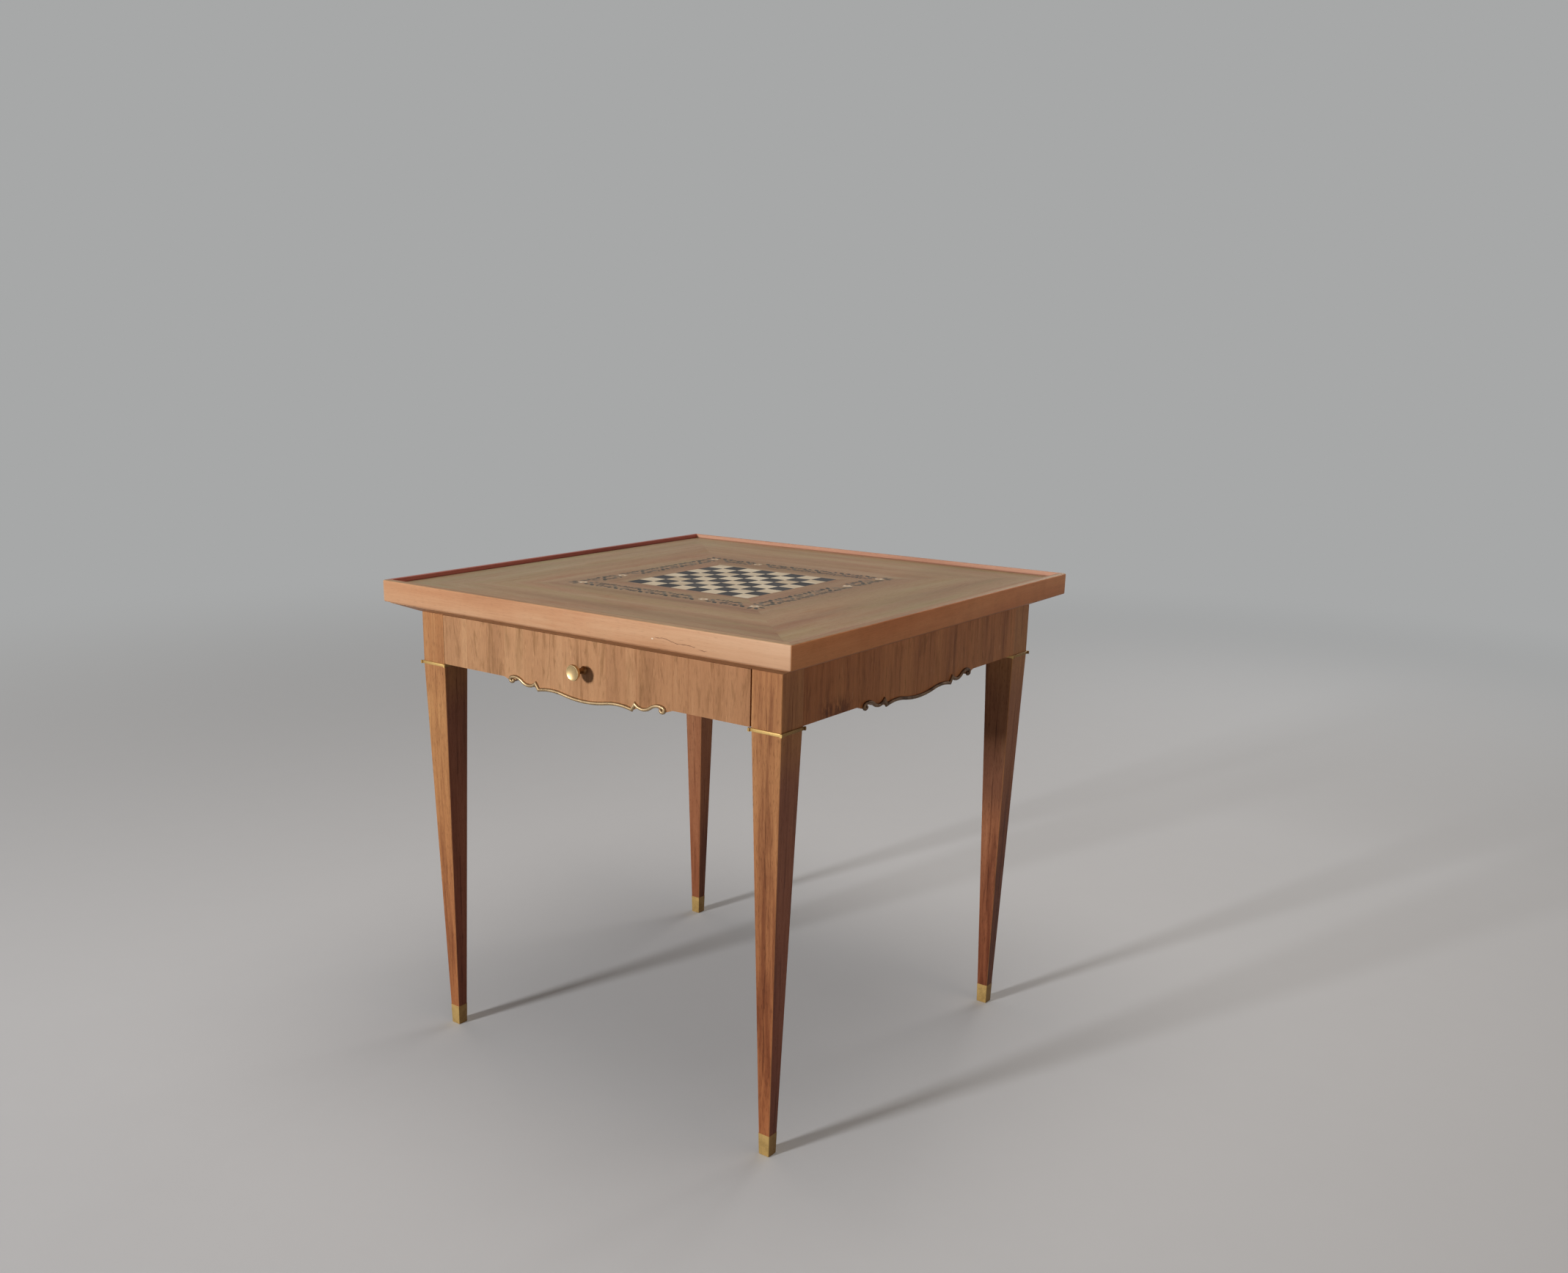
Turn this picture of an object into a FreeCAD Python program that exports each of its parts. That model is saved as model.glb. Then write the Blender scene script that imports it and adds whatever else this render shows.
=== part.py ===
import FreeCAD, Part
import math
import os

# Square game table with an inlaid chessboard in a sunk top and one drawer in the front.
# Millimetres, x to the right, y to the back, z up, origin on the floor under the middle of the top.

Vec = FreeCAD.Vector
UP = Vec(0, 0, 1)

# Overall size
TOP_SIDE = 750.0
TABLE_HEIGHT = 730.0

# Rim that stands proud of the playing surface
RIM_WIDTH = 10.0
RIM_HEIGHT = 33.0
RIM_PROUD = 6.5
RIM_OUTER_ROUND = 2.5
RIM_INNER_ROUND = 1.5

# Veneer, board and garland laid into the top
VENEER_THICKNESS = 1.5
SQUARE_SIDE = 28.75
SQUARES_ACROSS = 8
GARLAND_FROM_BOARD = 47.5
SIDE_FLOWER_OFFSET = 72.0
FLOWER_RADIUS = 7.5
FLOWER_WAIST = 5.0
FLOWER_PETALS = 5
FLOWER_HEART_RADIUS = 2.6
VINE_SWING = 3.5
VINE_HALF_WIDTH = 0.6
VINE_TO_FLOWER = 1.0
LEAF_LENGTH = 15.5
LEAF_WIDTH = 6.2
LEAF_BELLY = 6.5
LEAF_LEAN = 40.0
LEAF_TO_VINE = 0.8
LEAF_GAP = 4.0

# Bed moulding between the rim and the aprons
MOULD_HEIGHT = 15.0
MOULD_SETBACK = 7.0
MOULD_LIP = 2.0
MOULD_FOOT = 2.0

# Legs, with their brass collars and foot caps
OVERHANG = 40.0
LEG_SIDE = 46.5
FOOT_SIDE = 16.5
LEG_ARRIS = 0.8
COLLAR_HEIGHT = 4.5
COLLAR_PROUD = 2.2
COLLAR_LET_IN = 1.5
COLLAR_ARRIS = 1.0
COLLAR_BELOW_APRON = 0.5
SABOT_HEIGHT = 32.0
SABOT_WALL = 1.2
SABOT_PROUD = 0.3
SABOT_FLOOR = 2.5
SABOT_ARRIS = 1.2

# Aprons
APRON_SHOWS = 75.5
APRON_THICKNESS = 20.0
APRON_TENON_THICKNESS = 8.0
APRON_TENON_LENGTH = 22.0
APRON_TENON_SHOULDER = 10.0

# Shaped lower edge: distance from the middle, and drop below the straight edge
SAG_LOW = (0.0, 12.7)
SAG_END = (40.0, 8.8)
CUSP_FOOT = (88.0, 9.4)
CUSP_HEAD = (94.0, 1.1)
DIP_LOW = (106.5, 6.2)
DIP_END = (121.0, 2.0)
SCROLL_EYE = (142.2, 1.7)
SCROLL_RADIUS = 3.0
SCROLL_TURN = 240.0
NOTCH_END = (100.0, 4.7)
LOBE_RADIUS = 4.0
LOBE_START = 20.0
LOBE_END = 110.0
LOBE_TAIL = 17.0
EDGE_BELOW_BEAD = 1.0

# Brass bead along the shaped edge
BEAD_WIDTH = 4.4
BEAD_HEIGHT = 3.2

# Rails that hold the front legs apart
TOP_RAIL_TENON = (24.0, 8.0, 18.0)
BEARER_HEIGHT = 14.0
BEARER_ABOVE_EDGE = 1.5
BEARER_TENON = (12.0, 8.0, 18.0)

# Drawer and its running gear
GAP_LEFT = 0.7
GAP_RIGHT = 2.5
GAP_ABOVE_FRONT = 1.0
GAP_CLOSED = 0.3
GAP_RUNNING = 0.3
GAP_GUIDE = 0.5
GAP_KICKER = 1.0
DRAWER_FRONT_THICKNESS = 20.0
DRAWER_SIDE_THICKNESS = 12.0
DRAWER_SIDE_HEIGHT = 54.0
DRAWER_BACK_THICKNESS = 12.0
DRAWER_BACK_HOUSING = 4.0
DRAWER_BACK_ROOM = 50.0
DRAWER_BOTTOM_THICKNESS = 5.0
DRAWER_BOTTOM_RAISED = 5.0
DRAWER_GROOVE = 5.0
TAILS = 2
TAIL_LENGTH = 14.0
TAIL_NECK = 9.0
TAIL_FLARE = 1.5
RUNNER_HEIGHT = 14.0
RUNNER_PAST_SIDE = 8.0
GUIDE_HEIGHT = 16.0

# Knob: how far each part of the turning stands out from the drawer front, and its radius
KNOB_ABOVE_EDGE = 32.0
KNOB_BASE = (2.5, 6.0)
KNOB_NECK = (19.5, 4.2)
KNOB_DISC = (24.5, 11.8)
KNOB_DISH_DEPTH = 1.6
KNOB_DISH_RIM = 10.2
KNOB_DISH_FLOOR = 5.0
KNOB_SHANK_SIDE = 5.0

# Heights that follow from the sizes above
rim_bottom = TABLE_HEIGHT - RIM_HEIGHT
play_level = TABLE_HEIGHT - RIM_PROUD
core_top = play_level - VENEER_THICKNESS
mould_bottom = rim_bottom - MOULD_HEIGHT
apron_edge = mould_bottom - APRON_SHOWS
collar_top = apron_edge - COLLAR_BELOW_APRON
collar_bottom = collar_top - COLLAR_HEIGHT
bearer_bottom = apron_edge + BEARER_ABOVE_EDGE
bearer_top = bearer_bottom + BEARER_HEIGHT
drawer_low = bearer_top + GAP_RUNNING
drawer_high = drawer_low + DRAWER_SIDE_HEIGHT
bottom_low = drawer_low + DRAWER_BOTTOM_RAISED
bottom_high = bottom_low + DRAWER_BOTTOM_THICKNESS
kicker_bottom = drawer_high + GAP_KICKER
knob_height = apron_edge + KNOB_ABOVE_EDGE

# Distances from the middle that follow from the sizes above
rim_face = TOP_SIDE / 2
rim_inside = rim_face - RIM_WIDTH
face = rim_face - OVERHANG
apron_inside = face - APRON_THICKNESS
leg_inside = face - LEG_SIDE
leg_middle = face - LEG_SIDE / 2
front_back = DRAWER_FRONT_THICKNESS - face
drawer_end = apron_inside - DRAWER_BACK_ROOM
drawer_left = GAP_LEFT - leg_inside
drawer_right = leg_inside - GAP_RIGHT
garland_middle = SQUARES_ACROSS * SQUARE_SIDE / 2 + GARLAND_FROM_BOARD

SIDES = ("front", "right", "back", "left")


def box(x0, x1, y0, y1, z0, z1):
    return Part.makeBox(x1 - x0, y1 - y0, z1 - z0, Vec(x0, y0, z0))


def block(side, z0, z1, middle=(0.0, 0.0)):
    x, y = middle
    half = side / 2
    return box(x - half, x + half, y - half, y + half, z0, z1)


def taper(low_side, z0, high_side, z1, middle):
    # A square block that narrows evenly from one height to the other
    low, high = low_side / 2, high_side / 2
    wedge = Part.makeWedge(-low, z0, -low, -high, -high, low, z1, low, high, high)
    wedge.rotate(Vec(), Vec(1, 0, 0), 90)
    wedge.translate(Vec(*middle, 0))
    return wedge


def quarter(shape, turns):
    # Front of the table to its right side, back and left side, by quarter turns
    return shape.rotated(Vec(), UP, 90 * turns)


def rising_edges(shape):
    return [e for e in shape.Edges if abs(e.tangentAt(e.FirstParameter).z) > 0.9]


def level_edges(shape, z):
    return [e for e in shape.Edges if max(abs(e.BoundBox.ZMin - z), abs(e.BoundBox.ZMax - z)) < 1e-6]


def mitred(bar):
    # The front bar of a square frame, cut on the diagonals at both ends
    reach = TOP_SIDE
    corner = Part.makePolygon([Vec(), Vec(-reach, -reach), Vec(reach, -reach), Vec()])
    wedge = Part.Face(corner).extrude(UP * TABLE_HEIGHT)
    return bar.common(wedge).Solids[0]


def rim():
    bar = box(-rim_face, rim_face, -rim_face, -rim_inside, rim_bottom, TABLE_HEIGHT)
    level = level_edges(bar, rim_bottom) + level_edges(bar, TABLE_HEIGHT)
    bar = bar.makeFillet(RIM_OUTER_ROUND, [e for e in level if e.BoundBox.YMax < -rim_inside])
    inner = [e for e in level_edges(bar, TABLE_HEIGHT) if abs(e.BoundBox.YMin + rim_inside) < 1e-6]
    return mitred(bar.makeFillet(RIM_INNER_ROUND, inner))


def bed_mould():
    lip = rim_face - MOULD_SETBACK
    section = [
        (face, mould_bottom),
        (face + MOULD_FOOT, mould_bottom),
        (lip, rim_bottom - MOULD_LIP),
        (lip, rim_bottom),
        (face, rim_bottom),
        (face, mould_bottom),
    ]
    outline = Part.makePolygon([Vec(-rim_face, -y, z) for y, z in section])
    return mitred(Part.Face(outline).extrude(Vec(TOP_SIDE, 0, 0)))


# Legs


def leg_side_at(z):
    return FOOT_SIDE + (LEG_SIDE - FOOT_SIDE) * z / collar_bottom


def leg_end(middle):
    # The part of the leg that goes into the foot cap
    less = 2 * (SABOT_WALL - SABOT_PROUD)
    low, high = leg_side_at(SABOT_FLOOR) - less, leg_side_at(SABOT_HEIGHT) - less
    return taper(low, SABOT_FLOOR, high, SABOT_HEIGHT, middle)


def leg(middle, tenons):
    shaft = taper(leg_side_at(SABOT_HEIGHT), SABOT_HEIGHT, LEG_SIDE, collar_bottom, middle)
    shaft = shaft.makeChamfer(LEG_ARRIS, rising_edges(shaft))
    post = block(LEG_SIDE, collar_top, rim_bottom, middle)
    outer = [e for e in rising_edges(post) if min(abs(e.CenterOfMass.x), abs(e.CenterOfMass.y)) > leg_middle]
    post = post.makeChamfer(LEG_ARRIS, outer)
    waist = block(LEG_SIDE - 2 * COLLAR_LET_IN, collar_bottom, collar_top, middle)
    whole = shaft.multiFuse([leg_end(middle), waist, post])
    return whole.cut(tenons).removeSplitter().Solids[0]


def collar(middle):
    ring = block(LEG_SIDE + 2 * COLLAR_PROUD, collar_bottom, collar_top, middle)
    ring = ring.makeChamfer(COLLAR_ARRIS, level_edges(ring, collar_top) + level_edges(ring, collar_bottom))
    return ring.cut(block(LEG_SIDE - 2 * COLLAR_LET_IN, collar_bottom, collar_top, middle))


def sabot(middle):
    proud = 2 * SABOT_PROUD
    cup = taper(leg_side_at(0) + proud, 0, leg_side_at(SABOT_HEIGHT) + proud, SABOT_HEIGHT, middle)
    cup = cup.makeChamfer(SABOT_ARRIS, rising_edges(cup) + level_edges(cup, 0))
    return cup.cut(leg_end(middle))


# Shaped lower edge of the aprons and the drawer front


def edge_point(point, side=1, lower=0.0):
    return Vec(side * point[0], -face, apron_edge - point[1] - lower)


def arc(first, middle, last):
    return Part.Arc(first, middle, last).toShape()


def line(first, last):
    return Part.LineSegment(first, last).toShape()


def heading(edge):
    return edge.tangentAt(edge.LastParameter).normalize()


def tangent_arc(first, way, last):
    # The arc that leaves its first point in the given direction
    chord = last - first
    along = Vec(chord).normalize()
    lift = (way - along * way.dot(along)) * (chord.Length / 2 / (1 + way.dot(along)))
    return arc(first, (first + last) / 2 + lift, last)


def sag_arc(side, lower):
    first, last = edge_point(SAG_END, -side, lower), edge_point(SAG_END, side, lower)
    return arc(first, edge_point(SAG_LOW, side, lower), last)


def half_curve(side, lower, notch):
    # Arch, straight run to the end of the notch, and dip, on one side of the sag
    def at(point):
        return edge_point(point, side, lower)

    arch = tangent_arc(at(SAG_END), heading(sag_arc(side, lower)), at(CUSP_FOOT))
    return [arch, line(at(CUSP_FOOT), at(notch)), arc(at(notch), at(DIP_LOW), at(DIP_END))]


def scroll_curve(side, dip):
    # Crest and scroll: the crest leaves the dip smoothly and runs smoothly into the round of the scroll
    way, start, eye = heading(dip), edge_point(DIP_END, side), edge_point(SCROLL_EYE, side)
    inward = way.cross(Vec(0, -side, 0))
    away = start - eye
    crest_radius = (SCROLL_RADIUS ** 2 - away.dot(away)) / (2 * (inward.dot(away) + SCROLL_RADIUS))
    spoke = (eye - start - inward * crest_radius).normalize() * SCROLL_RADIUS

    def round_eye(turn):
        return eye + FreeCAD.Rotation(Vec(0, side, 0), turn).multVec(spoke)

    crest = tangent_arc(start, way, round_eye(0))
    return [crest, arc(round_eye(0), round_eye(SCROLL_TURN / 2), round_eye(SCROLL_TURN))]


def lobe_curve(side, dip):
    # Wood behind the scroll: on from the dip, round the lobe and up to the straight edge in a long tail
    eye = edge_point(SCROLL_EYE, side)

    def round_eye(angle):
        turn = math.radians(angle)
        return eye - Vec(side * LOBE_RADIUS * math.cos(turn), 0, LOBE_RADIUS * math.sin(turn))

    crest = tangent_arc(edge_point(DIP_END, side, EDGE_BELOW_BEAD), heading(dip), round_eye(LOBE_START))
    half_way = round_eye((LOBE_START + LOBE_END) / 2)
    lobe = arc(round_eye(LOBE_START), half_way, round_eye(LOBE_END))
    tail_end = edge_point((SCROLL_EYE[0] + LOBE_TAIL, 0.0), side)
    return [crest, lobe, line(round_eye(LOBE_END), tail_end)], tail_end


def shaped_board(x_left, x_right, z_top, thickness):
    # A board with its outer face on the plane of the legs and the shaped lower edge
    edges = [sag_arc(1, EDGE_BELOW_BEAD)]
    ends = {}
    for side in (-1, 1):
        half = half_curve(side, EDGE_BELOW_BEAD, NOTCH_END)
        lobe, ends[side] = lobe_curve(side, half[-1])
        edges += half + lobe
    corners = [
        ends[1],
        Vec(x_right, -face, apron_edge),
        Vec(x_right, -face, z_top),
        Vec(x_left, -face, z_top),
        Vec(x_left, -face, apron_edge),
        ends[-1],
    ]
    edges += [line(a, b) for a, b in zip(corners, corners[1:])]
    outline = Part.Wire(Part.__sortEdges__(edges))
    return Part.Face(outline).extrude(Vec(0, thickness, 0))


def bead():
    # One brass bead from scroll to scroll, with mitred cusps and a flat back
    edges = [sag_arc(1, 0.0)]
    for side in (-1, 1):
        half = half_curve(side, 0.0, CUSP_HEAD)
        edges += half + scroll_curve(side, half[-1])
    path = Part.Wire(Part.__sortEdges__(edges))
    mitred_joins = 2
    return path.makeOffset2D(BEAD_WIDTH / 2, mitred_joins, True).extrude(Vec(0, -BEAD_HEIGHT, 0))


# Aprons and rails


def apron_tenons():
    y = APRON_THICKNESS / 2 - face
    half = APRON_TENON_THICKNESS / 2
    z0, z1 = apron_edge + APRON_TENON_SHOULDER, rim_bottom - APRON_TENON_SHOULDER
    reach = leg_inside + APRON_TENON_LENGTH
    return [box(*ends, y - half, y + half, z0, z1) for ends in ((-reach, -leg_inside), (leg_inside, reach))]


def rail_tenons(y, z, tenon):
    width, height, length = tenon
    reach = leg_inside + length
    y0, y1, z0, z1 = y - width / 2, y + width / 2, z - height / 2, z + height / 2
    return [box(*ends, y0, y1, z0, z1) for ends in ((-reach, -leg_inside), (leg_inside, reach))]


def top_rail_tenons():
    return rail_tenons(-leg_middle, (mould_bottom + rim_bottom) / 2, TOP_RAIL_TENON)


def bearer_front():
    return front_back + GAP_CLOSED


def bearer_tenons():
    return rail_tenons((bearer_front() - leg_inside) / 2, (bearer_bottom + bearer_top) / 2, BEARER_TENON)


def apron():
    board = shaped_board(-leg_inside, leg_inside, rim_bottom, APRON_THICKNESS)
    return board.multiFuse(apron_tenons()).removeSplitter()


def front_top_rail():
    rail = box(-leg_inside, leg_inside, -face, -leg_inside, mould_bottom, rim_bottom)
    return rail.multiFuse(top_rail_tenons())


def front_bearer_rail():
    rail = box(-leg_inside, leg_inside, bearer_front(), -leg_inside, bearer_bottom, bearer_top)
    return rail.multiFuse(bearer_tenons())


def all_tenons():
    turned = [quarter(tenon, turns) for turns in (1, 2, 3) for tenon in apron_tenons()]
    return Part.makeCompound(turned + top_rail_tenons() + bearer_tenons())


# Running gear, fixed to the side aprons


def gear_inner(side):
    # How far the runner and kicker reach under and over the drawer side
    outer = drawer_left if side < 0 else drawer_right
    return outer - side * (DRAWER_SIDE_THICKNESS + RUNNER_PAST_SIDE)


def gear_box(side, inner, z0, z1):
    outer = side * apron_inside
    return box(min(inner, outer), max(inner, outer), -leg_inside, leg_inside, z0, z1)


def runner(side):
    return gear_box(side, gear_inner(side), bearer_top - RUNNER_HEIGHT, bearer_top)


def guide(side):
    outer = drawer_left if side < 0 else drawer_right
    return gear_box(side, outer + side * GAP_GUIDE, bearer_top, bearer_top + GUIDE_HEIGHT)


def kicker(side):
    return gear_box(side, gear_inner(side), kicker_bottom, rim_bottom)


# Drawer


def drawer_tails(side):
    # Dovetails on the front end of a drawer side
    outer = drawer_left if side < 0 else drawer_right
    inner = outer - side * DRAWER_SIDE_THICKNESS
    solids = []
    for tail in range(TAILS):
        z = drawer_low + DRAWER_SIDE_HEIGHT * (tail + 0.5) / TAILS
        neck, end = TAIL_NECK / 2, TAIL_NECK / 2 + TAIL_FLARE
        tip = front_back - TAIL_LENGTH
        corners = [(front_back, -neck), (tip, -end), (tip, end), (front_back, neck), (front_back, -neck)]
        outline = Part.makePolygon([Vec(min(outer, inner), y, z + dz) for y, dz in corners])
        solids.append(Part.Face(outline).extrude(Vec(DRAWER_SIDE_THICKNESS, 0, 0)))
    return solids


def drawer_bottom():
    reach = DRAWER_SIDE_THICKNESS - DRAWER_GROOVE
    x0, x1 = drawer_left + reach, drawer_right - reach
    return box(x0, x1, front_back - DRAWER_GROOVE, drawer_end, bottom_low, bottom_high)


def drawer_back():
    reach = DRAWER_SIDE_THICKNESS - DRAWER_BACK_HOUSING
    x0, x1 = drawer_left + reach, drawer_right - reach
    return box(x0, x1, drawer_end - DRAWER_BACK_THICKNESS, drawer_end, bottom_high, drawer_high)


def drawer_side(side):
    outer = drawer_left if side < 0 else drawer_right
    inner = outer - side * DRAWER_SIDE_THICKNESS
    board = box(min(outer, inner), max(outer, inner), front_back, drawer_end, drawer_low, drawer_high)
    board = board.multiFuse(drawer_tails(side))
    return board.cut(Part.makeCompound([drawer_bottom(), drawer_back()])).removeSplitter()


def knob():
    # Turned about a line along y: base, neck and disc, with a dished face
    turned = knob_shank()
    reached = 0.0
    for out, radius in (KNOB_BASE, KNOB_NECK, KNOB_DISC):
        start = Vec(0, -face - reached, knob_height)
        turned = turned.fuse(Part.makeCylinder(radius, out - reached, start, Vec(0, -1, 0)))
        reached = out
    front = Vec(0, -face - reached, knob_height)
    return turned.cut(Part.makeCone(KNOB_DISH_RIM, KNOB_DISH_FLOOR, KNOB_DISH_DEPTH, front, Vec(0, 1, 0)))


def knob_shank():
    # Square, so that the knob can't turn, and right through the drawer front
    half = KNOB_SHANK_SIDE / 2
    return box(-half, half, -face, front_back, knob_height - half, knob_height + half)


def drawer_front():
    board = shaped_board(drawer_left, drawer_right, mould_bottom - GAP_ABOVE_FRONT, DRAWER_FRONT_THICKNESS)
    let_in = drawer_tails(-1) + drawer_tails(1) + [drawer_bottom(), knob_shank()]
    return board.cut(Part.makeCompound(let_in))


# Top: core, veneer, squares and garland


def inlay(corners):
    # A flat piece of veneer with the given outline
    return Part.Face(Part.makePolygon(corners + corners[:1])).extrude(UP * VENEER_THICKNESS)


def board_squares(parity):
    half = SQUARES_ACROSS * SQUARE_SIDE / 2
    solids = []
    for column in range(SQUARES_ACROSS):
        for row in range(SQUARES_ACROSS):
            if (column + row) % 2 == parity:
                x, y = column * SQUARE_SIDE - half, row * SQUARE_SIDE - half
                solids.append(box(x, x + SQUARE_SIDE, y, y + SQUARE_SIDE, core_top, play_level))
    return solids


def garland_point(x, y):
    # A point beside the middle line of the garland's front run, y counted outwards from that line
    return Vec(x, -garland_middle - y, core_top)


def leaf(x, y, angle):
    turn = math.radians(angle)
    base = garland_point(x, y)
    along = garland_point(x + math.cos(turn), y + math.sin(turn)) - base
    belly, half_width = base + along * LEAF_BELLY, along.cross(UP) * (LEAF_WIDTH / 2)
    return inlay([base, belly + half_width, base + along * LEAF_LENGTH, belly - half_width])


def ring_points(x, radii):
    # Points round a flower on the middle line, at each of the given radii in turn
    turns = [2 * math.pi * n / len(radii) for n in range(len(radii))]
    return [garland_point(x + r * math.cos(turn), r * math.sin(turn)) for r, turn in zip(radii, turns)]


def flower_heart(x):
    return inlay(ring_points(x, [FLOWER_HEART_RADIUS] * FLOWER_PETALS))


def flower(x):
    return inlay(ring_points(x, [FLOWER_RADIUS, FLOWER_WAIST] * FLOWER_PETALS)).cut(flower_heart(x))


def leaf_run(start, end):
    # Leaves along a bending vine between two flowers, one outside and one inside at each bend
    reach = LEAF_LENGTH * math.cos(math.radians(LEAF_LEAN))
    bends = max(1, int((end - start) // (reach + LEAF_WIDTH + LEAF_GAP)))
    pitch = (end - start) / bends
    dark, grey = [], []
    for bend in range(bends):
        side = -1 if bend % 2 else 1
        x, swing = start + (bend + 0.5) * pitch, side * VINE_SWING
        aside = side * (VINE_HALF_WIDTH + LEAF_TO_VINE)
        dark.append(leaf(x + LEAF_TO_VINE, swing + aside, side * LEAF_LEAN))
        (dark if bend % 3 == 1 else grey).append(leaf(x, swing - aside, -side * (180 - LEAF_LEAN)))
    return dark, grey


def garland():
    # All inlaid pieces of the garland, by kind
    pieces = {"leaves_dark": [], "leaves_grey": [], "flowers": [], "flower_hearts": []}
    clear = FLOWER_RADIUS + VINE_TO_FLOWER
    runs = (
        (clear - garland_middle, SIDE_FLOWER_OFFSET - clear),
        (SIDE_FLOWER_OFFSET + clear, garland_middle - clear),
    )
    for run in runs:
        dark, grey = leaf_run(*run)
        pieces["leaves_dark"] += dark
        pieces["leaves_grey"] += grey
    for x in (-garland_middle, SIDE_FLOWER_OFFSET):
        pieces["flowers"].append(flower(x))
        pieces["flower_hearts"].append(flower_heart(x))
    all_round = {}
    for kind, solids in pieces.items():
        all_round[kind] = [quarter(solid, turns) for turns in range(4) for solid in solids]
    return all_round


def top_core():
    return block(2 * rim_inside, rim_bottom, core_top)


def field_veneer(inlaid):
    sheet = block(2 * rim_inside, core_top, play_level)
    sheet = sheet.cut(block(SQUARES_ACROSS * SQUARE_SIDE, core_top, play_level))
    return sheet.cut(Part.makeCompound(inlaid))


def save(name, shape):
    shape.exportStep(os.path.join("parts", name + ".step"))


def build():
    os.makedirs("parts", exist_ok=True)
    parts = {}

    rim_bar, mould_bar = rim(), bed_mould()
    for turns, name in enumerate(SIDES):
        parts["rim_" + name] = quarter(rim_bar, turns)
        parts["bed_mould_" + name] = quarter(mould_bar, turns)

    tenons = all_tenons()
    corners = {"front_left": (-1, -1), "front_right": (1, -1), "back_right": (1, 1), "back_left": (-1, 1)}
    for name, (x, y) in corners.items():
        middle = (x * leg_middle, y * leg_middle)
        parts["leg_" + name] = leg(middle, tenons)
        parts["collar_" + name] = collar(middle)
        parts["sabot_" + name] = sabot(middle)

    brass = bead()
    board = apron()
    parts["bead_drawer"] = brass
    for turns, name in enumerate(SIDES[1:], 1):
        parts["apron_" + name] = quarter(board, turns)
        parts["bead_" + name] = quarter(brass, turns)

    parts["front_top_rail"] = front_top_rail()
    parts["front_bearer_rail"] = front_bearer_rail()
    for name, side in (("left", -1), ("right", 1)):
        parts["runner_" + name] = runner(side)
        parts["guide_" + name] = guide(side)
        parts["kicker_" + name] = kicker(side)
        parts["drawer_side_" + name] = drawer_side(side)

    parts["drawer_front"] = drawer_front()
    parts["drawer_back"] = drawer_back()
    parts["drawer_bottom"] = drawer_bottom()
    parts["knob"] = knob()

    pieces = garland()
    parts["top_core"] = top_core()
    parts["field_veneer"] = field_veneer([s for solids in pieces.values() for s in solids])
    parts["squares_dark"] = Part.makeCompound(board_squares(0))
    parts["squares_light"] = Part.makeCompound(board_squares(1))
    for kind, solids in pieces.items():
        parts["inlay_" + kind] = Part.makeCompound(solids)

    for name, shape in parts.items():
        save(name, shape)


build()
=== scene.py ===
import math

import bmesh
import bpy
from mathutils import Color, Matrix, Vector


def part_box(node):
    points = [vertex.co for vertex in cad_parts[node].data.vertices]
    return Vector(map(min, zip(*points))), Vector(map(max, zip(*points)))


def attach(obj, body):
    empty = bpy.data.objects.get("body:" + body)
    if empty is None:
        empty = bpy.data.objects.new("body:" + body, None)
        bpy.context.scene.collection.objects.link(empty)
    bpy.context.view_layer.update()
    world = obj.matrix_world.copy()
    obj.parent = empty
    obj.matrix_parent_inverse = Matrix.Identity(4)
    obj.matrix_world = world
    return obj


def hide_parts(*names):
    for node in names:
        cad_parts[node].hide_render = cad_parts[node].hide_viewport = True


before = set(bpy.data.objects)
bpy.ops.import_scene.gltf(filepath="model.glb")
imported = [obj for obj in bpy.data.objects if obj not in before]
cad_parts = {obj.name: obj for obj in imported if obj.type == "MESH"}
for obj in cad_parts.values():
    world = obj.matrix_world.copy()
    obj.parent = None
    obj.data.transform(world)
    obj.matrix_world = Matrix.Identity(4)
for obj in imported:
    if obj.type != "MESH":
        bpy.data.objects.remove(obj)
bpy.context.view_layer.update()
scene = bpy.context.scene

MM = 0.001
UP = Vector((0, 0, 1))
FORWARD = Vector((0, -1, 0))
SIDES = ("front", "right", "back", "left")
CORNERS = ("front_left", "front_right", "back_right", "back_left")

# Places read from the solids
rim_low, rim_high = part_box("rim_front")
collar_low, collar_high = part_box("collar_front_right")
sabot_low, sabot_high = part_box("sabot_front_right")
knob_low, knob_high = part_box("knob")
square_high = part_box("squares_dark")[1]
drawer_back_low, drawer_back_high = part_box("drawer_back")
kicker_low, kicker_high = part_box("kicker_right")
drawer_side_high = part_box("drawer_side_right")[1]

TABLE_TOP = rim_high.z
RIM_FACE = -rim_low.y
RIM_INSIDE = -rim_high.y
PLAY_LEVEL = square_high.z
BOARD_HALF = square_high.x
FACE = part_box("leg_front_right")[1].x
LEG_MIDDLE = (collar_low.x + collar_high.x) / 2
LEG_HALF = FACE - LEG_MIDDLE
COLLAR_BOTTOM = collar_low.z
FOOT_HALF = 8.25 * MM
KNOB_HEIGHT = (knob_low.z + knob_high.z) / 2
FRONT_INSIDE = knob_high.y

# How near two points, a level or an upright may be to count as one
MERGE = 1e-7
NEAR = 1e-6
UPRIGHT_EDGE = 0.9
LEVEL_FACE = 0.99
SHARP_ANGLE = math.radians(38)

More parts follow.
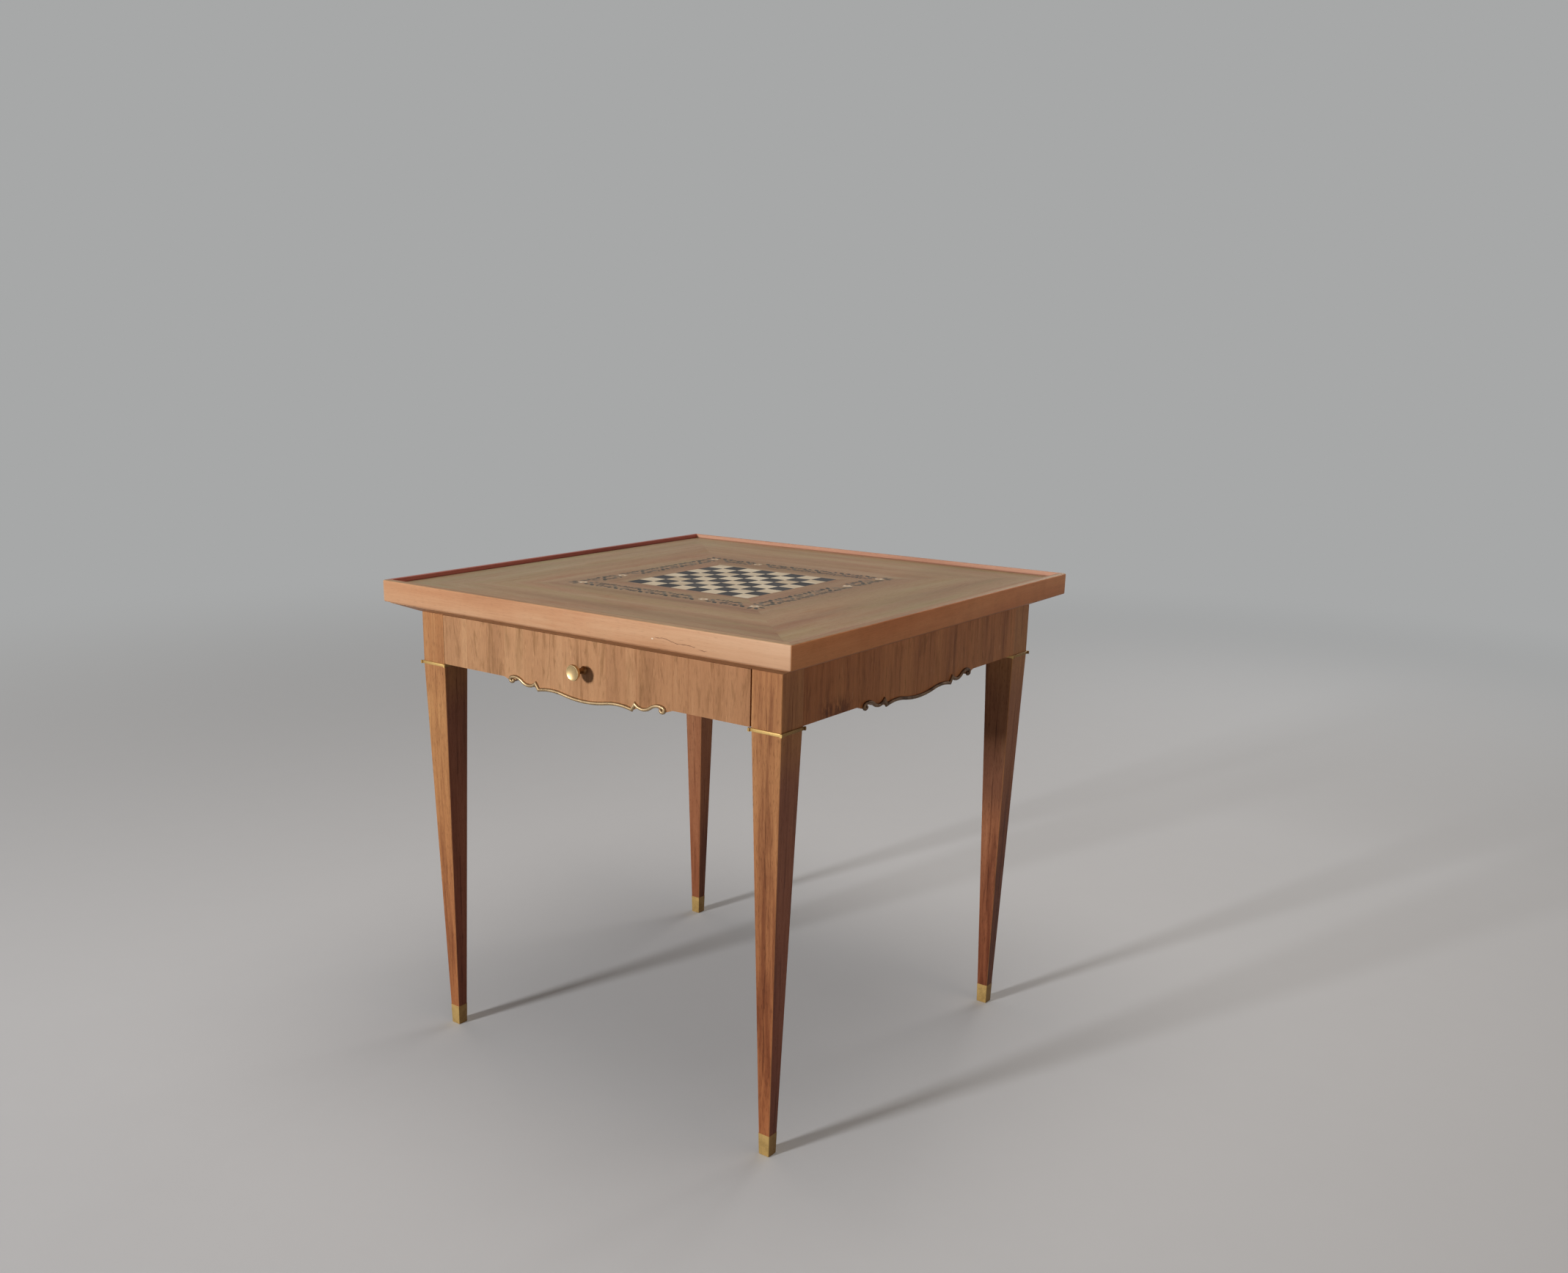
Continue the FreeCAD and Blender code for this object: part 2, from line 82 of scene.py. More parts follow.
# Rounding of the rim, collars and foot caps: radius, and steps round it
RIM_CORNER_ROUND = (2.5 * MM, 5)
RIM_OUTER_ROUND = (3.0 * MM, 4)
RIM_INNER_ROUND = (1.5 * MM, 3)
COLLAR_ARRIS = (0.5 * MM, 2)
COLLAR_ROUND = (1.0 * MM, 5)
SABOT_ROUND = (1.0 * MM, 3)
MITRE_GAP = 0.05 * MM
COLLAR_WALL = 3.7 * MM
COLLAR_FLAT_AREA = 1e-3
SABOT_PROUD = 0.3 * MM
SABOT_WALL = 1.1 * MM
SABOT_FLOOR = 2.5 * MM

# Turned profiles, in millimetres: radius, distance out
KNOB_PROFILE = (
    (0.0, 0.0), (5.6, 0.0), (6.0, 0.5), (5.9, 1.4), (5.2, 2.5), (4.5, 3.6), (4.1, 5.4),
    (4.0, 8.5), (4.0, 12.0), (4.3, 14.6), (5.4, 16.6), (7.6, 18.0), (9.6, 18.7), (10.8, 19.4),
    (11.3, 20.4), (11.4, 21.8), (11.4, 23.0), (11.2, 23.9), (10.8, 24.4), (10.3, 24.5),
    (9.8, 24.35), (9.4, 24.1), (8.6, 23.88), (7.4, 23.59), (5.8, 23.28), (4.0, 23.01),
    (2.0, 22.83), (0.0, 22.77),
)
KNOB_RIVET = (
    (0.0, 0.0), (5.4, 0.0), (5.4, 0.7), (5.0, 1.0), (3.0, 1.0), (2.8, 1.7), (1.8, 2.3), (0.0, 2.5),
)
PIN_HEAD = ((0.0, 0.0), (2.2, 0.0), (2.1, 0.3), (1.4, 0.6), (0.0, 0.7))
KNOB_STEPS, RIVET_STEPS, PIN_STEPS = 64, 32, 20
PIN_SPACING = 0.11
PIN_ROW = (drawer_back_low.y + drawer_back_high.y) / 2
PIN_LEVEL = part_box("drawer_bottom")[0].z

# Screws that hold the top, in millimetres, and their spacing in metres
SCREW_RADII = (3.6, 4.5)
SCREW_HEIGHT = 1.2
SLOT_HALF = 0.5
SLOT_DEEP = 0.8
SLOT_SLOPE = 0.05
SCREW_SPACING = 0.2

# Brass bead, as distance from the middle and drop below the straight edge of the apron
APRON_EDGE = 606.5
SAG_LOW = Vector((0.0, -12.7))
SAG_END = Vector((40.0, -8.8))
CUSP_FOOT = Vector((88.0, -9.4))
CUSP_HEAD = Vector((94.0, -1.1))
DIP_LOW = Vector((106.5, -6.2))
DIP_END = Vector((121.0, -2.0))
SCROLL_EYE = Vector((142.2, -1.7))
SCROLL_RADIUS = 3.3
SCROLL_TURN = math.radians(240)
SAG_STEPS, RISE_STEPS, DIP_STEPS, CREST_STEPS, SCROLL_STEPS = 10, 14, 12, 12, 18
BEAD_WIDTH = 5.0
BEAD_HEIGHT = 3.5
BEAD_CROWN_STEPS = 10
BEAD_MERGE = 1e-4

# Rounded tip of the scroll: distance on, share of the section
BEAD_TIP = ((0.9, 0.8), (0.5, 0.45))

# Garland, in millimetres
GARLAND_MIDDLE = 162.5
SIDE_FLOWER_OFFSET = 72.0
FLOWER_CLEAR = 8.5
FLOWER_RADIUS = 6.7
PETAL_DEPTH = 1.15
PETALS = 5
HEART_RADIUS = 2.8
VINE_SWING = 3.5
VINE_HALF_WIDTH = 0.4
VINE_STEPS = 8
BEND_ROOM = 22.07
INLAY_DEPTH = 0.15
VINE_PROUD = 0.02
LEAF_PROUD = 0.03
FLOWER_PROUD = 0.04
HEART_PROUD = 0.06

# Leaves round one bend: kind, along, out, angle, length, width
BEND_LEAVES = (
    ("dark", 0.8, 4.9, 40, 15.6, 6.9),
    ("turn", 0.0, 2.1, -140, 15.6, 6.9),
    ("dark", -2.0, 5.2, 102, 9.5, 5.2),
    ("dark", -8.7, 3.6, 94, 9.5, 5.2),
    ("dark", -15.2, 4.4, 100, 9.5, 5.2),
    ("swap", -21.4, 3.2, 96, 9.5, 5.0),
    ("dark", -30.8, 9.4, 40, 6.8, 4.8),
)
FIRST_BEND_LEAVES = 4
CORNER_LEAVES = ((135, 15.0), (98, 12.0), (172, 12.0))
CORNER_LEAF_WIDTH = 6.0

# How the leaves after the first two stray from bend to bend and from leaf to leaf
MAIN_LEAVES = 2
STRAY_BY_BEND = 2.4
STRAY_BY_LEAF = 1.7
STRAY_ANGLE = 8
STRAY_LENGTH = 0.12


# Pieces


def new_object(name, data):
    thing = bpy.data.objects.new(name, data)
    scene.collection.objects.link(thing)
    return thing


def new_piece(name, bm, material):
    mesh = bpy.data.meshes.new(name)
    bm.to_mesh(mesh)
    bm.free()
    mesh.materials.append(material)
    return new_object(name, mesh)


def place(name, bm, body, material, replaces=()):
    # A finished piece at the origin, with its place in its mesh
    bmesh.ops.remove_doubles(bm, verts=bm.verts, dist=MERGE)
    bmesh.ops.recalc_face_normals(bm, faces=bm.faces)
    piece = new_piece(name, bm, material)
    piece.data.shade_smooth()
    piece.data.set_sharp_from_angle(angle=SHARP_ANGLE)
    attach(piece, body)
    if replaces:
        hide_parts(*replaces)


def whole(bm):
    return bm.verts[:] + bm.edges[:] + bm.faces[:]


def corners_of(geom):
    return [g for g in geom if isinstance(g, bmesh.types.BMVert)]


def block(low, high):
    bm = bmesh.new()
    bmesh.ops.create_cube(bm, size=1.0)
    low, high = Vector(low), Vector(high)
    bmesh.ops.scale(bm, vec=high - low, verts=bm.verts)
    bmesh.ops.translate(bm, vec=(low + high) / 2, verts=bm.verts)
    return bm


def round_edges(bm, edges, radius, steps):
    bmesh.ops.bevel(
        bm, geom=edges, offset=radius, affect="EDGES", segments=steps, profile=0.5,
        material=-1, clamp_overlap=True,
    )


def edges_where(bm, test):
    return [e for e in bm.edges if all(test(v.co) for v in e.verts)]


def rising(bm):
    ways = {e: (e.verts[0].co - e.verts[1].co).normalized() for e in bm.edges}
    return [edge for edge, way in ways.items() if abs(way.z) > UPRIGHT_EDGE]


def cut_off(bm, point, way):
    # Takes away what lies beyond the plane and closes the cut
    bmesh.ops.bisect_plane(bm, geom=whole(bm), plane_co=point, plane_no=way, clear_outer=True)
    bmesh.ops.holes_fill(bm, edges=[e for e in bm.edges if e.is_boundary])


def quarter(bm, turns, verts=None):
    turn = Matrix.Rotation(math.pi / 2 * turns, 3, "Z")
    bmesh.ops.rotate(bm, cent=(0, 0, 0), matrix=turn, verts=verts or bm.verts)
    return bm


def rim_bar(turns):
    # One mitred side of the rim, with the rounded corners of the top at its ends
    bm = block((-RIM_FACE, -RIM_FACE, rim_low.z), (RIM_FACE, RIM_FACE, TABLE_TOP))
    round_edges(bm, rising(bm), *RIM_CORNER_ROUND)
    for level in (rim_low.z, TABLE_TOP):
        outer = edges_where(bm, lambda co: abs(co.z - level) < NEAR)
        round_edges(bm, outer, *RIM_OUTER_ROUND)
    cut_off(bm, (0, -RIM_INSIDE, 0), (0, 1, 0))
    inner = edges_where(
        bm, lambda co: abs(co.y + RIM_INSIDE) < NEAR and abs(co.z - TABLE_TOP) < NEAR
    )
    round_edges(bm, inner, *RIM_INNER_ROUND)
    for way in (1, -1):
        cut_off(bm, (-way * MITRE_GAP, 0, 0), (way, 1, 0))
    return quarter(bm, turns)


def collar(turns):
    # A square brass band with rounded edges, open in the middle
    bm = block(collar_low, collar_high)
    round_edges(bm, rising(bm), *COLLAR_ARRIS)
    level = [e for e in bm.edges if abs(e.verts[0].co.z - e.verts[1].co.z) < MERGE]
    round_edges(bm, level, *COLLAR_ROUND)
    flats = [f for f in bm.faces if f.calc_area() > COLLAR_FLAT_AREA]
    inset = COLLAR_WALL - COLLAR_ROUND[0]
    bmesh.ops.inset_individual(bm, faces=flats, thickness=inset, depth=0)
    inner = [e for f in flats for e in f.edges]
    bmesh.ops.delete(bm, geom=flats, context="FACES_ONLY")
    bmesh.ops.bridge_loops(bm, edges=inner)
    return quarter(bm, turns)


def sabot(turns):
    # A tapered brass cup round the end of the leg
    bm = block(sabot_low, sabot_high)
    half = (sabot_high.x - sabot_low.x) / 2
    foot_scale = (FOOT_HALF + SABOT_PROUD) / half
    narrower = {
        "vec": (foot_scale, foot_scale, 1),
        "space": Matrix.Translation((-LEG_MIDDLE, LEG_MIDDLE, 0)),
    }
    low = [v for v in bm.verts if v.co.z < sabot_high.z / 2]
    bmesh.ops.scale(bm, verts=low, **narrower)
    under = edges_where(bm, lambda co: co.z < NEAR)
    round_edges(bm, under + rising(bm), *SABOT_ROUND)
    brim = [f for f in bm.faces if f.normal.z > LEVEL_FACE]
    bmesh.ops.inset_individual(bm, faces=brim, thickness=SABOT_WALL, depth=0)
    sunk = bmesh.ops.extrude_discrete_faces(bm, faces=brim)["faces"]
    inside = list({v for f in sunk for v in f.verts})
    bmesh.ops.scale(bm, verts=inside, **narrower)
    bmesh.ops.translate(bm, vec=(0, 0, SABOT_FLOOR - sabot_high.z), verts=inside)
    return quarter(bm, turns)


def turned_pieces(profile, out, steps, *feet):
    # Spins a profile round the line that leaves each foot by the given way
    bm = bmesh.new()
    aside = out.orthogonal().normalized()
    for foot in map(Vector, feet):
        points = [bm.verts.new(foot + (aside * radius + out * far) * MM) for radius, far in profile]
        chain = [bm.edges.new(pair) for pair in zip(points, points[1:])]
        bmesh.ops.spin(
            bm, geom=points + chain, cent=foot, axis=out, angle=2 * math.pi, steps=steps,
            use_merge=True,
        )
    return bm


def screw_head():
    # One head with its slot underneath, in millimetres
    bm = bmesh.new()
    bmesh.ops.create_cone(
        bm, cap_ends=True, segments=28, radius1=SCREW_RADII[0], radius2=SCREW_RADII[1],
        depth=SCREW_HEIGHT,
    )
    for side in (-SLOT_HALF, SLOT_HALF):
        bmesh.ops.bisect_plane(bm, geom=whole(bm), plane_co=(side, 0, 0), plane_no=(1, 0, 0))
    bm.normal_update()
    under = [f for f in bm.faces if f.normal.z < -LEVEL_FACE]
    strip = [f for f in under if abs(f.calc_center_median().x) < SLOT_HALF / 2]
    bmesh.ops.inset_individual(bm, faces=strip, thickness=SLOT_SLOPE, depth=-SLOT_DEEP)
    return bm


def top_screws():
    # Screws through the kickers into the top, clear of the drawer's sides
    bm = screw_head()
    bmesh.ops.scale(bm, vec=(MM, MM, MM), verts=bm.verts)
    head = whole(bm)
    bottom = kicker_low.z - SCREW_HEIGHT * MM / 2
    for side in (-1, 1):
        aside = side * (drawer_side_high.x + kicker_high.x) / 2
        for number in (-1, 0, 1):
            copied = corners_of(bmesh.ops.duplicate(bm, geom=head)["geom"])
            bmesh.ops.translate(bm, vec=(aside, number * SCREW_SPACING, bottom), verts=copied)
    bmesh.ops.delete(bm, geom=corners_of(head), context="VERTS")
    return bm


# Brass bead


def turned(way, angle):
    return Matrix.Rotation(angle, 2) @ way


def arc_stations(start, way, end, steps):
    # Points and headings along the arc that leaves start by the given way
    chord = end - start
    left = turned(way, math.pi / 2)
    reach = chord.length_squared / (2 * left.dot(chord))
    centre = start + left * reach
    sweep = 2 * math.atan2(left.dot(chord), way.dot(chord))
    turns = [sweep * step / steps for step in range(1, steps + 1)]
    return [(centre + turned(start - centre, turn), turned(way, turn)) for turn in turns]


def half_bead_stations():
    # From the middle of the sag to the end of the scroll: point, heading, and at a cusp the
    # next heading
    runs = [(SAG_LOW, Vector((1, 0)))]
    runs += arc_stations(*runs[-1], SAG_END, SAG_STEPS)
    runs += arc_stations(*runs[-1], CUSP_FOOT, RISE_STEPS)
    to_low, to_end = DIP_LOW - CUSP_HEAD, DIP_END - CUSP_HEAD
    dip_way = (to_low / to_low.length_squared - to_end / to_end.length_squared).normalized()
    rise = (CUSP_HEAD - CUSP_FOOT).normalized()
    runs.append((CUSP_FOOT, runs.pop()[1], rise))
    runs.append((CUSP_HEAD, rise, dip_way))
    runs += arc_stations(CUSP_HEAD, dip_way, DIP_END, DIP_STEPS)
    start, way = runs[-1]
    inward = turned(way, -math.pi / 2)
    away = start - SCROLL_EYE
    crest_room = 2 * (inward.dot(away) + SCROLL_RADIUS)
    crest_radius = (SCROLL_RADIUS ** 2 - away.dot(away)) / crest_room
    spoke = (SCROLL_EYE - start - inward * crest_radius).normalized() * SCROLL_RADIUS
    runs += arc_stations(start, way, SCROLL_EYE + spoke, CREST_STEPS)
    way = runs[-1][1]
    for step in range(1, SCROLL_STEPS + 1):
        turn = -SCROLL_TURN * step / SCROLL_STEPS
        runs.append((SCROLL_EYE + turned(spoke, turn), turned(way, turn)))
    return runs


def bead_matrix(station):
    # Where the bead's section stands: mitred where the heading breaks
    point, way = station[:2]
    across, stretch = turned(way, math.pi / 2), 1.0
    if len(station) == 3:
        bend = way.angle_signed(station[2])
        across = turned(way, math.pi / 2 - bend / 2)
        stretch = 1 / math.cos(bend / 2)
    ahead = turned(across, -math.pi / 2)
    rows = (
        (across.x * stretch, 0, ahead.x, point.x),
        (0, -1, 0, 0),
        (across.y * stretch, 0, ahead.y, point.y),
        (0, 0, 0, 1),
    )
    return Matrix(rows)


def bead(turns):
    # A rod with a flat back, carried along the shaped edge and mirrored
    bm = bmesh.new()
    half = BEAD_WIDTH / 2
    straight = BEAD_HEIGHT - half
    crown = [math.pi * n / BEAD_CROWN_STEPS for n in range(1, BEAD_CROWN_STEPS)]
    outline = [(half, 0.0), (half, straight)]
    outline += [(half * math.cos(t), straight + half * math.sin(t)) for t in crown]
    outline += [(-half, straight), (-half, 0.0)]
    ring = [bm.verts.new((across, out, 0)) for across, out in outline]
    edges = [bm.edges.new((a, b)) for a, b in zip(ring, ring[1:] + ring[:1])]

    def grow(edges, move):
        grown = bmesh.ops.extrude_edge_only(bm, edges=edges)["geom"]
        ring = corners_of(grown)
        bmesh.ops.transform(bm, matrix=move, verts=ring)
        grown = [g for g in grown if isinstance(g, bmesh.types.BMEdge)]
        return [e for e in grown if all(v in ring for v in e.verts)]

    stations = half_bead_stations()
    matrix = bead_matrix(stations[0])
    bmesh.ops.transform(bm, matrix=matrix, verts=ring)
    for station in stations[1:]:
        after = bead_matrix(station)
        edges = grow(edges, after @ matrix.inverted())
        matrix = after
    for ahead, share in BEAD_TIP:
        after = matrix @ Matrix.Translation((0, 0, ahead))
        shrink = Matrix.Diagonal((share, (1 + share) / 2, 1, 1))
        edges = grow(edges, after @ shrink @ matrix.inverted())
        matrix = after
    bmesh.ops.holes_fill(bm, edges=edges)
    bmesh.ops.mirror(bm, geom=whole(bm), axis="X", merge_dist=BEAD_MERGE)
    to_face = Matrix.Translation((0, -FACE, APRON_EDGE * MM)) @ Matrix.Scale(MM, 4)
    bmesh.ops.transform(bm, matrix=to_face, verts=bm.verts)
    return quarter(bm, turns)


# Garland


def sink(bm, faces, proud):
    # Gives flat inlay its depth
    under = corners_of(bmesh.ops.extrude_face_region(bm, geom=faces)["geom"])
    bmesh.ops.translate(bm, vec=(0, 0, -INLAY_DEPTH - proud), verts=under)


def lay_in(bm, corners, angle, along, out, proud):
    # Turns a flat shape, sets it on the garland's front run and sinks it into the veneer
    turn = Matrix.Rotation(-math.radians(angle), 3, "Z")
    bmesh.ops.rotate(bm, cent=(0, 0, 0), matrix=turn, verts=corners)
    spot = (along, -GARLAND_MIDDLE - out, PLAY_LEVEL / MM + proud)
    bmesh.ops.translate(bm, vec=spot, verts=corners)
    sink(bm, corners[0].link_faces[:], proud)


def flat_circle(bm, points):
    return bmesh.ops.create_circle(bm, cap_ends=True, segments=points, radius=1.0)["verts"]


def leaf(bm, along, out, angle, length, width):
    # A pointed oval that grows from its base
    corners = flat_circle(bm, points=16)
    for corner in corners:
        corner.co.y *= abs(corner.co.y)
    bmesh.ops.scale(bm, vec=(length / 2, width / 2, 1), verts=corners)
    bmesh.ops.translate(bm, vec=(length / 2, 0, 0), verts=corners)
    lay_in(bm, corners, angle, along, out, LEAF_PROUD)


def garland_runs():
    # The two runs between flowers on the front: start, room for one bend, number of bends
    for start, end in (
        (FLOWER_CLEAR - GARLAND_MIDDLE, SIDE_FLOWER_OFFSET - FLOWER_CLEAR),
        (SIDE_FLOWER_OFFSET + FLOWER_CLEAR, GARLAND_MIDDLE - FLOWER_CLEAR),
    ):
        bends = int((end - start) // BEND_ROOM)
        yield start, (end - start) / bends, bends


def all_round(bm):
    # The front run in metres, repeated on the other three sides
    bmesh.ops.scale(bm, vec=(MM, MM, MM), verts=bm.verts)
    front = whole(bm)
    for turns in (1, 2, 3):
        copied = bmesh.ops.duplicate(bm, geom=front)["geom"]
        quarter(bm, turns, corners_of(copied))
    return bm


def garland_leaves(wanted):
    # All leaves of one colour; at a run's first bend the later leaves are left out
    bm = bmesh.new()
    for start, pitch, bends in garland_runs():
        for bend in range(bends):
            side = -1 if bend % 2 else 1
            middle = start + (bend + 0.5) * pitch
            colours = {
                "dark": "dark",
                "turn": "dark" if bend % 3 == 1 else "grey",
                "swap": "grey" if bend % 2 else "dark",
            }
            leaves = BEND_LEAVES if bend else BEND_LEAVES[:FIRST_BEND_LEAVES]
            for number, (kind, along, out, angle, length, width) in enumerate(leaves):
                stray = 0.0
                if number >= MAIN_LEAVES:
                    stray = math.sin(STRAY_BY_BEND * bend + STRAY_BY_LEAF * number)
                out, angle = out + stray, angle + STRAY_ANGLE * stray
                length *= 1 + STRAY_LENGTH * stray
                if colours[kind] == wanted:
                    leaf(bm, middle + along, side * out, side * angle, length, width)
    if wanted == "dark":
        for angle, length in CORNER_LEAVES:
            turn = math.radians(angle)
            along, out = FLOWER_CLEAR * math.cos(turn), FLOWER_CLEAR * math.sin(turn)
            leaf(bm, along - GARLAND_MIDDLE, out, angle, length, CORNER_LEAF_WIDTH)
    return all_round(bm)


def garland_vine():
    # A ribbon that swings from bend to bend
    bm = bmesh.new()
    level = PLAY_LEVEL / MM + VINE_PROUD
    across = Vector((0, VINE_HALF_WIDTH, 0))
    for start, pitch, bends in garland_runs():
        begin = Vector((start, -GARLAND_MIDDLE, level))
        edge = bm.edges.new([bm.verts.new(begin + across), bm.verts.new(begin - across)])
        swings = [math.sin(math.pi * n / VINE_STEPS) for n in range(bends * VINE_STEPS + 1)]
        for before, after in zip(swings, swings[1:]):
            move = Vector((pitch / VINE_STEPS, -VINE_SWING * (after - before), 0))
            pair = corners_of(bmesh.ops.extrude_edge_only(bm, edges=[edge])["geom"])
            bmesh.ops.translate(bm, vec=move, verts=pair)
            edge = bm.edges.get(pair)
    sink(bm, bm.faces[:], VINE_PROUD)
    return all_round(bm)


def garland_flowers(radius, petal_depth, proud):
    bm = bmesh.new()
    for along in (-GARLAND_MIDDLE, SIDE_FLOWER_OFFSET):
        corners = flat_circle(bm, points=40)
        for corner in corners:
            turn = math.atan2(corner.co.y, corner.co.x)
            corner.co *= radius + petal_depth * math.cos(PETALS * turn)
        lay_in(bm, corners, 0.0, along, 0.0, proud)
    return all_round(bm)


# Shader nodes; a helper that is given a socket adds its node to that socket's tree

# Sockets of a mix node for each kind of value: first, second, result
MIX_SOCKETS = {"RGBA": (6, 7, 2), "VECTOR": (4, 5, 1)}


def put(tree, kind, inputs=(), **settings):
    node = tree.nodes.new("ShaderNode" + kind)
    for name, value in settings.items():
        setattr(node, name, value)
    for name, value in dict(inputs).items():
        feed(node.inputs[name], value)
    return node


def feed(socket, value):
    if isinstance(value, bpy.types.NodeSocket):
        socket.id_data.links.new(value, socket)
    else:
        socket.default_value = value


def tree_of(*values):
    return next(v.id_data for v in values if isinstance(v, bpy.types.NodeSocket))


def calc(operation, a, b=0.0, c=0.0, clamp=False):
    settings = {"operation": operation, "use_clamp": clamp}
    return put(tree_of(a, b, c), "Math", {0: a, 1: b, 2: c}, **settings).outputs[0]


def times(first, *others):
    for other in others:
        first = calc("MULTIPLY", first, other)
    return first


def plus(a, b):
    return calc("ADD", a, b)


def less(a, b):
    return calc("SUBTRACT", a, b)


def opposite(value):
    return less(1.0, value)


def absolute(value):
    return calc("ABSOLUTE", value)


def above(value, low, high):
    # 0 up to low, 1 from high on, smooth in between
    inputs = {"Value": value, "From Min": low, "From Max": high}
    settings = {"interpolation_type": "SMOOTHSTEP"}
    return put(value.id_data, "MapRange", inputs, **settings).outputs["Result"]


def below(value, low, high):
    # 1 up to low, 0 from high on, smooth in between
    return opposite(above(value, low, high))


def window(value, low, high, soft):
    # 1 between low and high, with soft ends
    return times(above(value, low - soft, low), below(value, high, high + soft))


def scaled(value, low, high, start=0.0, end=1.0):
    # From low at the start to high at the end, in a straight line
    inputs = {"Value": value, "From Min": start, "From Max": end, "To Min": low, "To Max": high}
    return put(value.id_data, "MapRange", inputs).outputs["Result"]


def vector_calc(operation, a, b=(0, 0, 0)):
    return put(a.id_data, "VectorMath", {0: a, 1: b}, operation=operation).outputs


def parts(vector):
    return put(vector.id_data, "SeparateXYZ", {0: vector}).outputs


def noise(vector, scale, detail=2.0, roughness=0.5, distortion=0.0):
    inputs = {"Vector": vector, "Scale": scale, "Detail": detail}
    inputs.update(Roughness=roughness, Distortion=distortion)
    return put(vector.id_data, "TexNoise", inputs).outputs["Fac"]


def drawn_noise(vector, stretch, *settings):
    # Noise that is drawn out or packed along each axis
    return noise(vector_calc("MULTIPLY", vector, stretch)[0], 1.0, *settings)


def patches(vector, limits, *kind):
    # 1 where a drawn-out noise is high
    return above(drawn_noise(vector, *kind), *limits)


def mix(kind, share, a, b, **settings):
    first, second, result = MIX_SOCKETS[kind]
    inputs = {0: share, first: a, second: b}
    return put(tree_of(share, a, b), "Mix", inputs, data_type=kind, **settings).outputs[result]


def blend(share, a, b, mode="MIX"):
    return mix("RGBA", share, a, b, blend_type=mode)


def tinted(colour, *layers):
    # The colour, multiplied by each layer's tint where the layer's mask is 1
    for mask, tint in layers:
        colour = blend(mask, colour, (*tint, 1.0), "MULTIPLY")
    return colour


def shade(*tones):
    # A colour as it looks on a screen, 0 to 255
    return (*Color([tone / 255 for tone in tones]).from_srgb_to_scene_linear(), 1.0)


# Node groups. A noise is a stretch or a scale, then detail, roughness and distortion; patches begin
# with the limits of their mask

SURFACE = {"Color": "Color", "Roughness": "Float", "Height": "Float"}
MASK = {"Mask": "Float"}
TONES = ("Deep", "Middle", "Pale")

FIGURE = ((1.6, 22, 22), 3.0, 0.5, 0.5)
STREAK = ((9, 190, 190), 3.0, 0.6, 0.3)
FIBRE = ((40, 1300, 1300), 2.0)
PORE = ((0.60, 0.70), (75, 2400, 2400), 1.0)
PORE_TINT = (0.36, 0.30, 0.27)
PORE_ROUGHNESS = 0.2
FIBRE_TONE = 0.06
FIBRE_HEIGHT = 0.35
DEEP_TO_MIDDLE = (0.22, 0.52)
MIDDLE_TO_PALE = (0.46, 0.78)
WOOD_ROUGHNESS = (0.40, 0.56)

CORNER_RUB = ((30, 30, 14), 4.0, 0.65)
CORNER_RUB_SHARE = (0.2, 1.6)

CLOUD = (4.0, 0.6, 0.4)
CLOUD_RANGE = (0.34, 0.66)
SMEAR = (5.0, 0.62)
SMEAR_SCALE = 4.3
SMEAR_RANGE = (0.42, 0.72)

TARNISH_PATCH = (55.0, 5.0, 0.62, 0.3)
TARNISH_SPOT = (420.0, 3.0, 0.55)
TARNISH_SHARES = (0.7, 0.3)
TARNISH_RANGE = (0.40, 0.68)
TARNISH_ROUGHNESS = 0.2
BRASS_RUB = ((1600, 1600, 260), 2.0)
BRASS_RUB_ROUGHNESS = (0.0, 0.12)
BRASS_HEIGHTS = (0.3, 0.4)


def new_group(name, outputs, **inputs):
    # Coordinates are always the first input
    tree = bpy.data.node_groups.new(name, "ShaderNodeTree")
    for way, sockets in (("INPUT", {"Vector": "Vector", **inputs}), ("OUTPUT", outputs)):
        for socket, kind in sockets.items():
            tree.interface.new_socket(socket, in_out=way, socket_type="NodeSocket" + kind)
    given = tree.nodes.new("NodeGroupInput").outputs
    wanted = tree.nodes.new("NodeGroupOutput").inputs
    return tree, given, wanted


def make_wood_grain():
    # Grain along the vector's x: figure in broad bands, streaks, fibres and open pores
    tones = dict.fromkeys(TONES, "Color")
    tree, given, wanted = new_group("wood_grain", SURFACE, **tones, Streaks="Float", Pores="Float")
    along = given["Vector"]
    figure, streak, fibre = (drawn_noise(along, *kind) for kind in (FIGURE, STREAK, FIBRE))
    pore = times(patches(along, *PORE), given["Pores"])
    tone = plus(figure, times(less(streak, 0.5), given["Streaks"]))
    tone = plus(tone, scaled(fibre, -FIBRE_TONE, FIBRE_TONE))
    colour = blend(above(tone, *DEEP_TO_MIDDLE), given["Deep"], given["Middle"])
    colour = blend(above(tone, *MIDDLE_TO_PALE), colour, given["Pale"])
    feed(wanted["Color"], tinted(colour, (pore, PORE_TINT)))
    rough = plus(scaled(streak, *WOOD_ROUGHNESS), times(pore, PORE_ROUGHNESS))
    feed(wanted["Roughness"], rough)
    feed(wanted["Height"], less(times(fibre, FIBRE_HEIGHT), pore))
    return tree


def from_leg_middle(spot):
    # How far off the middle of the nearest leg, along x and y
    return [less(absolute(spot[n]), LEG_MIDDLE) for n in (0, 1)]


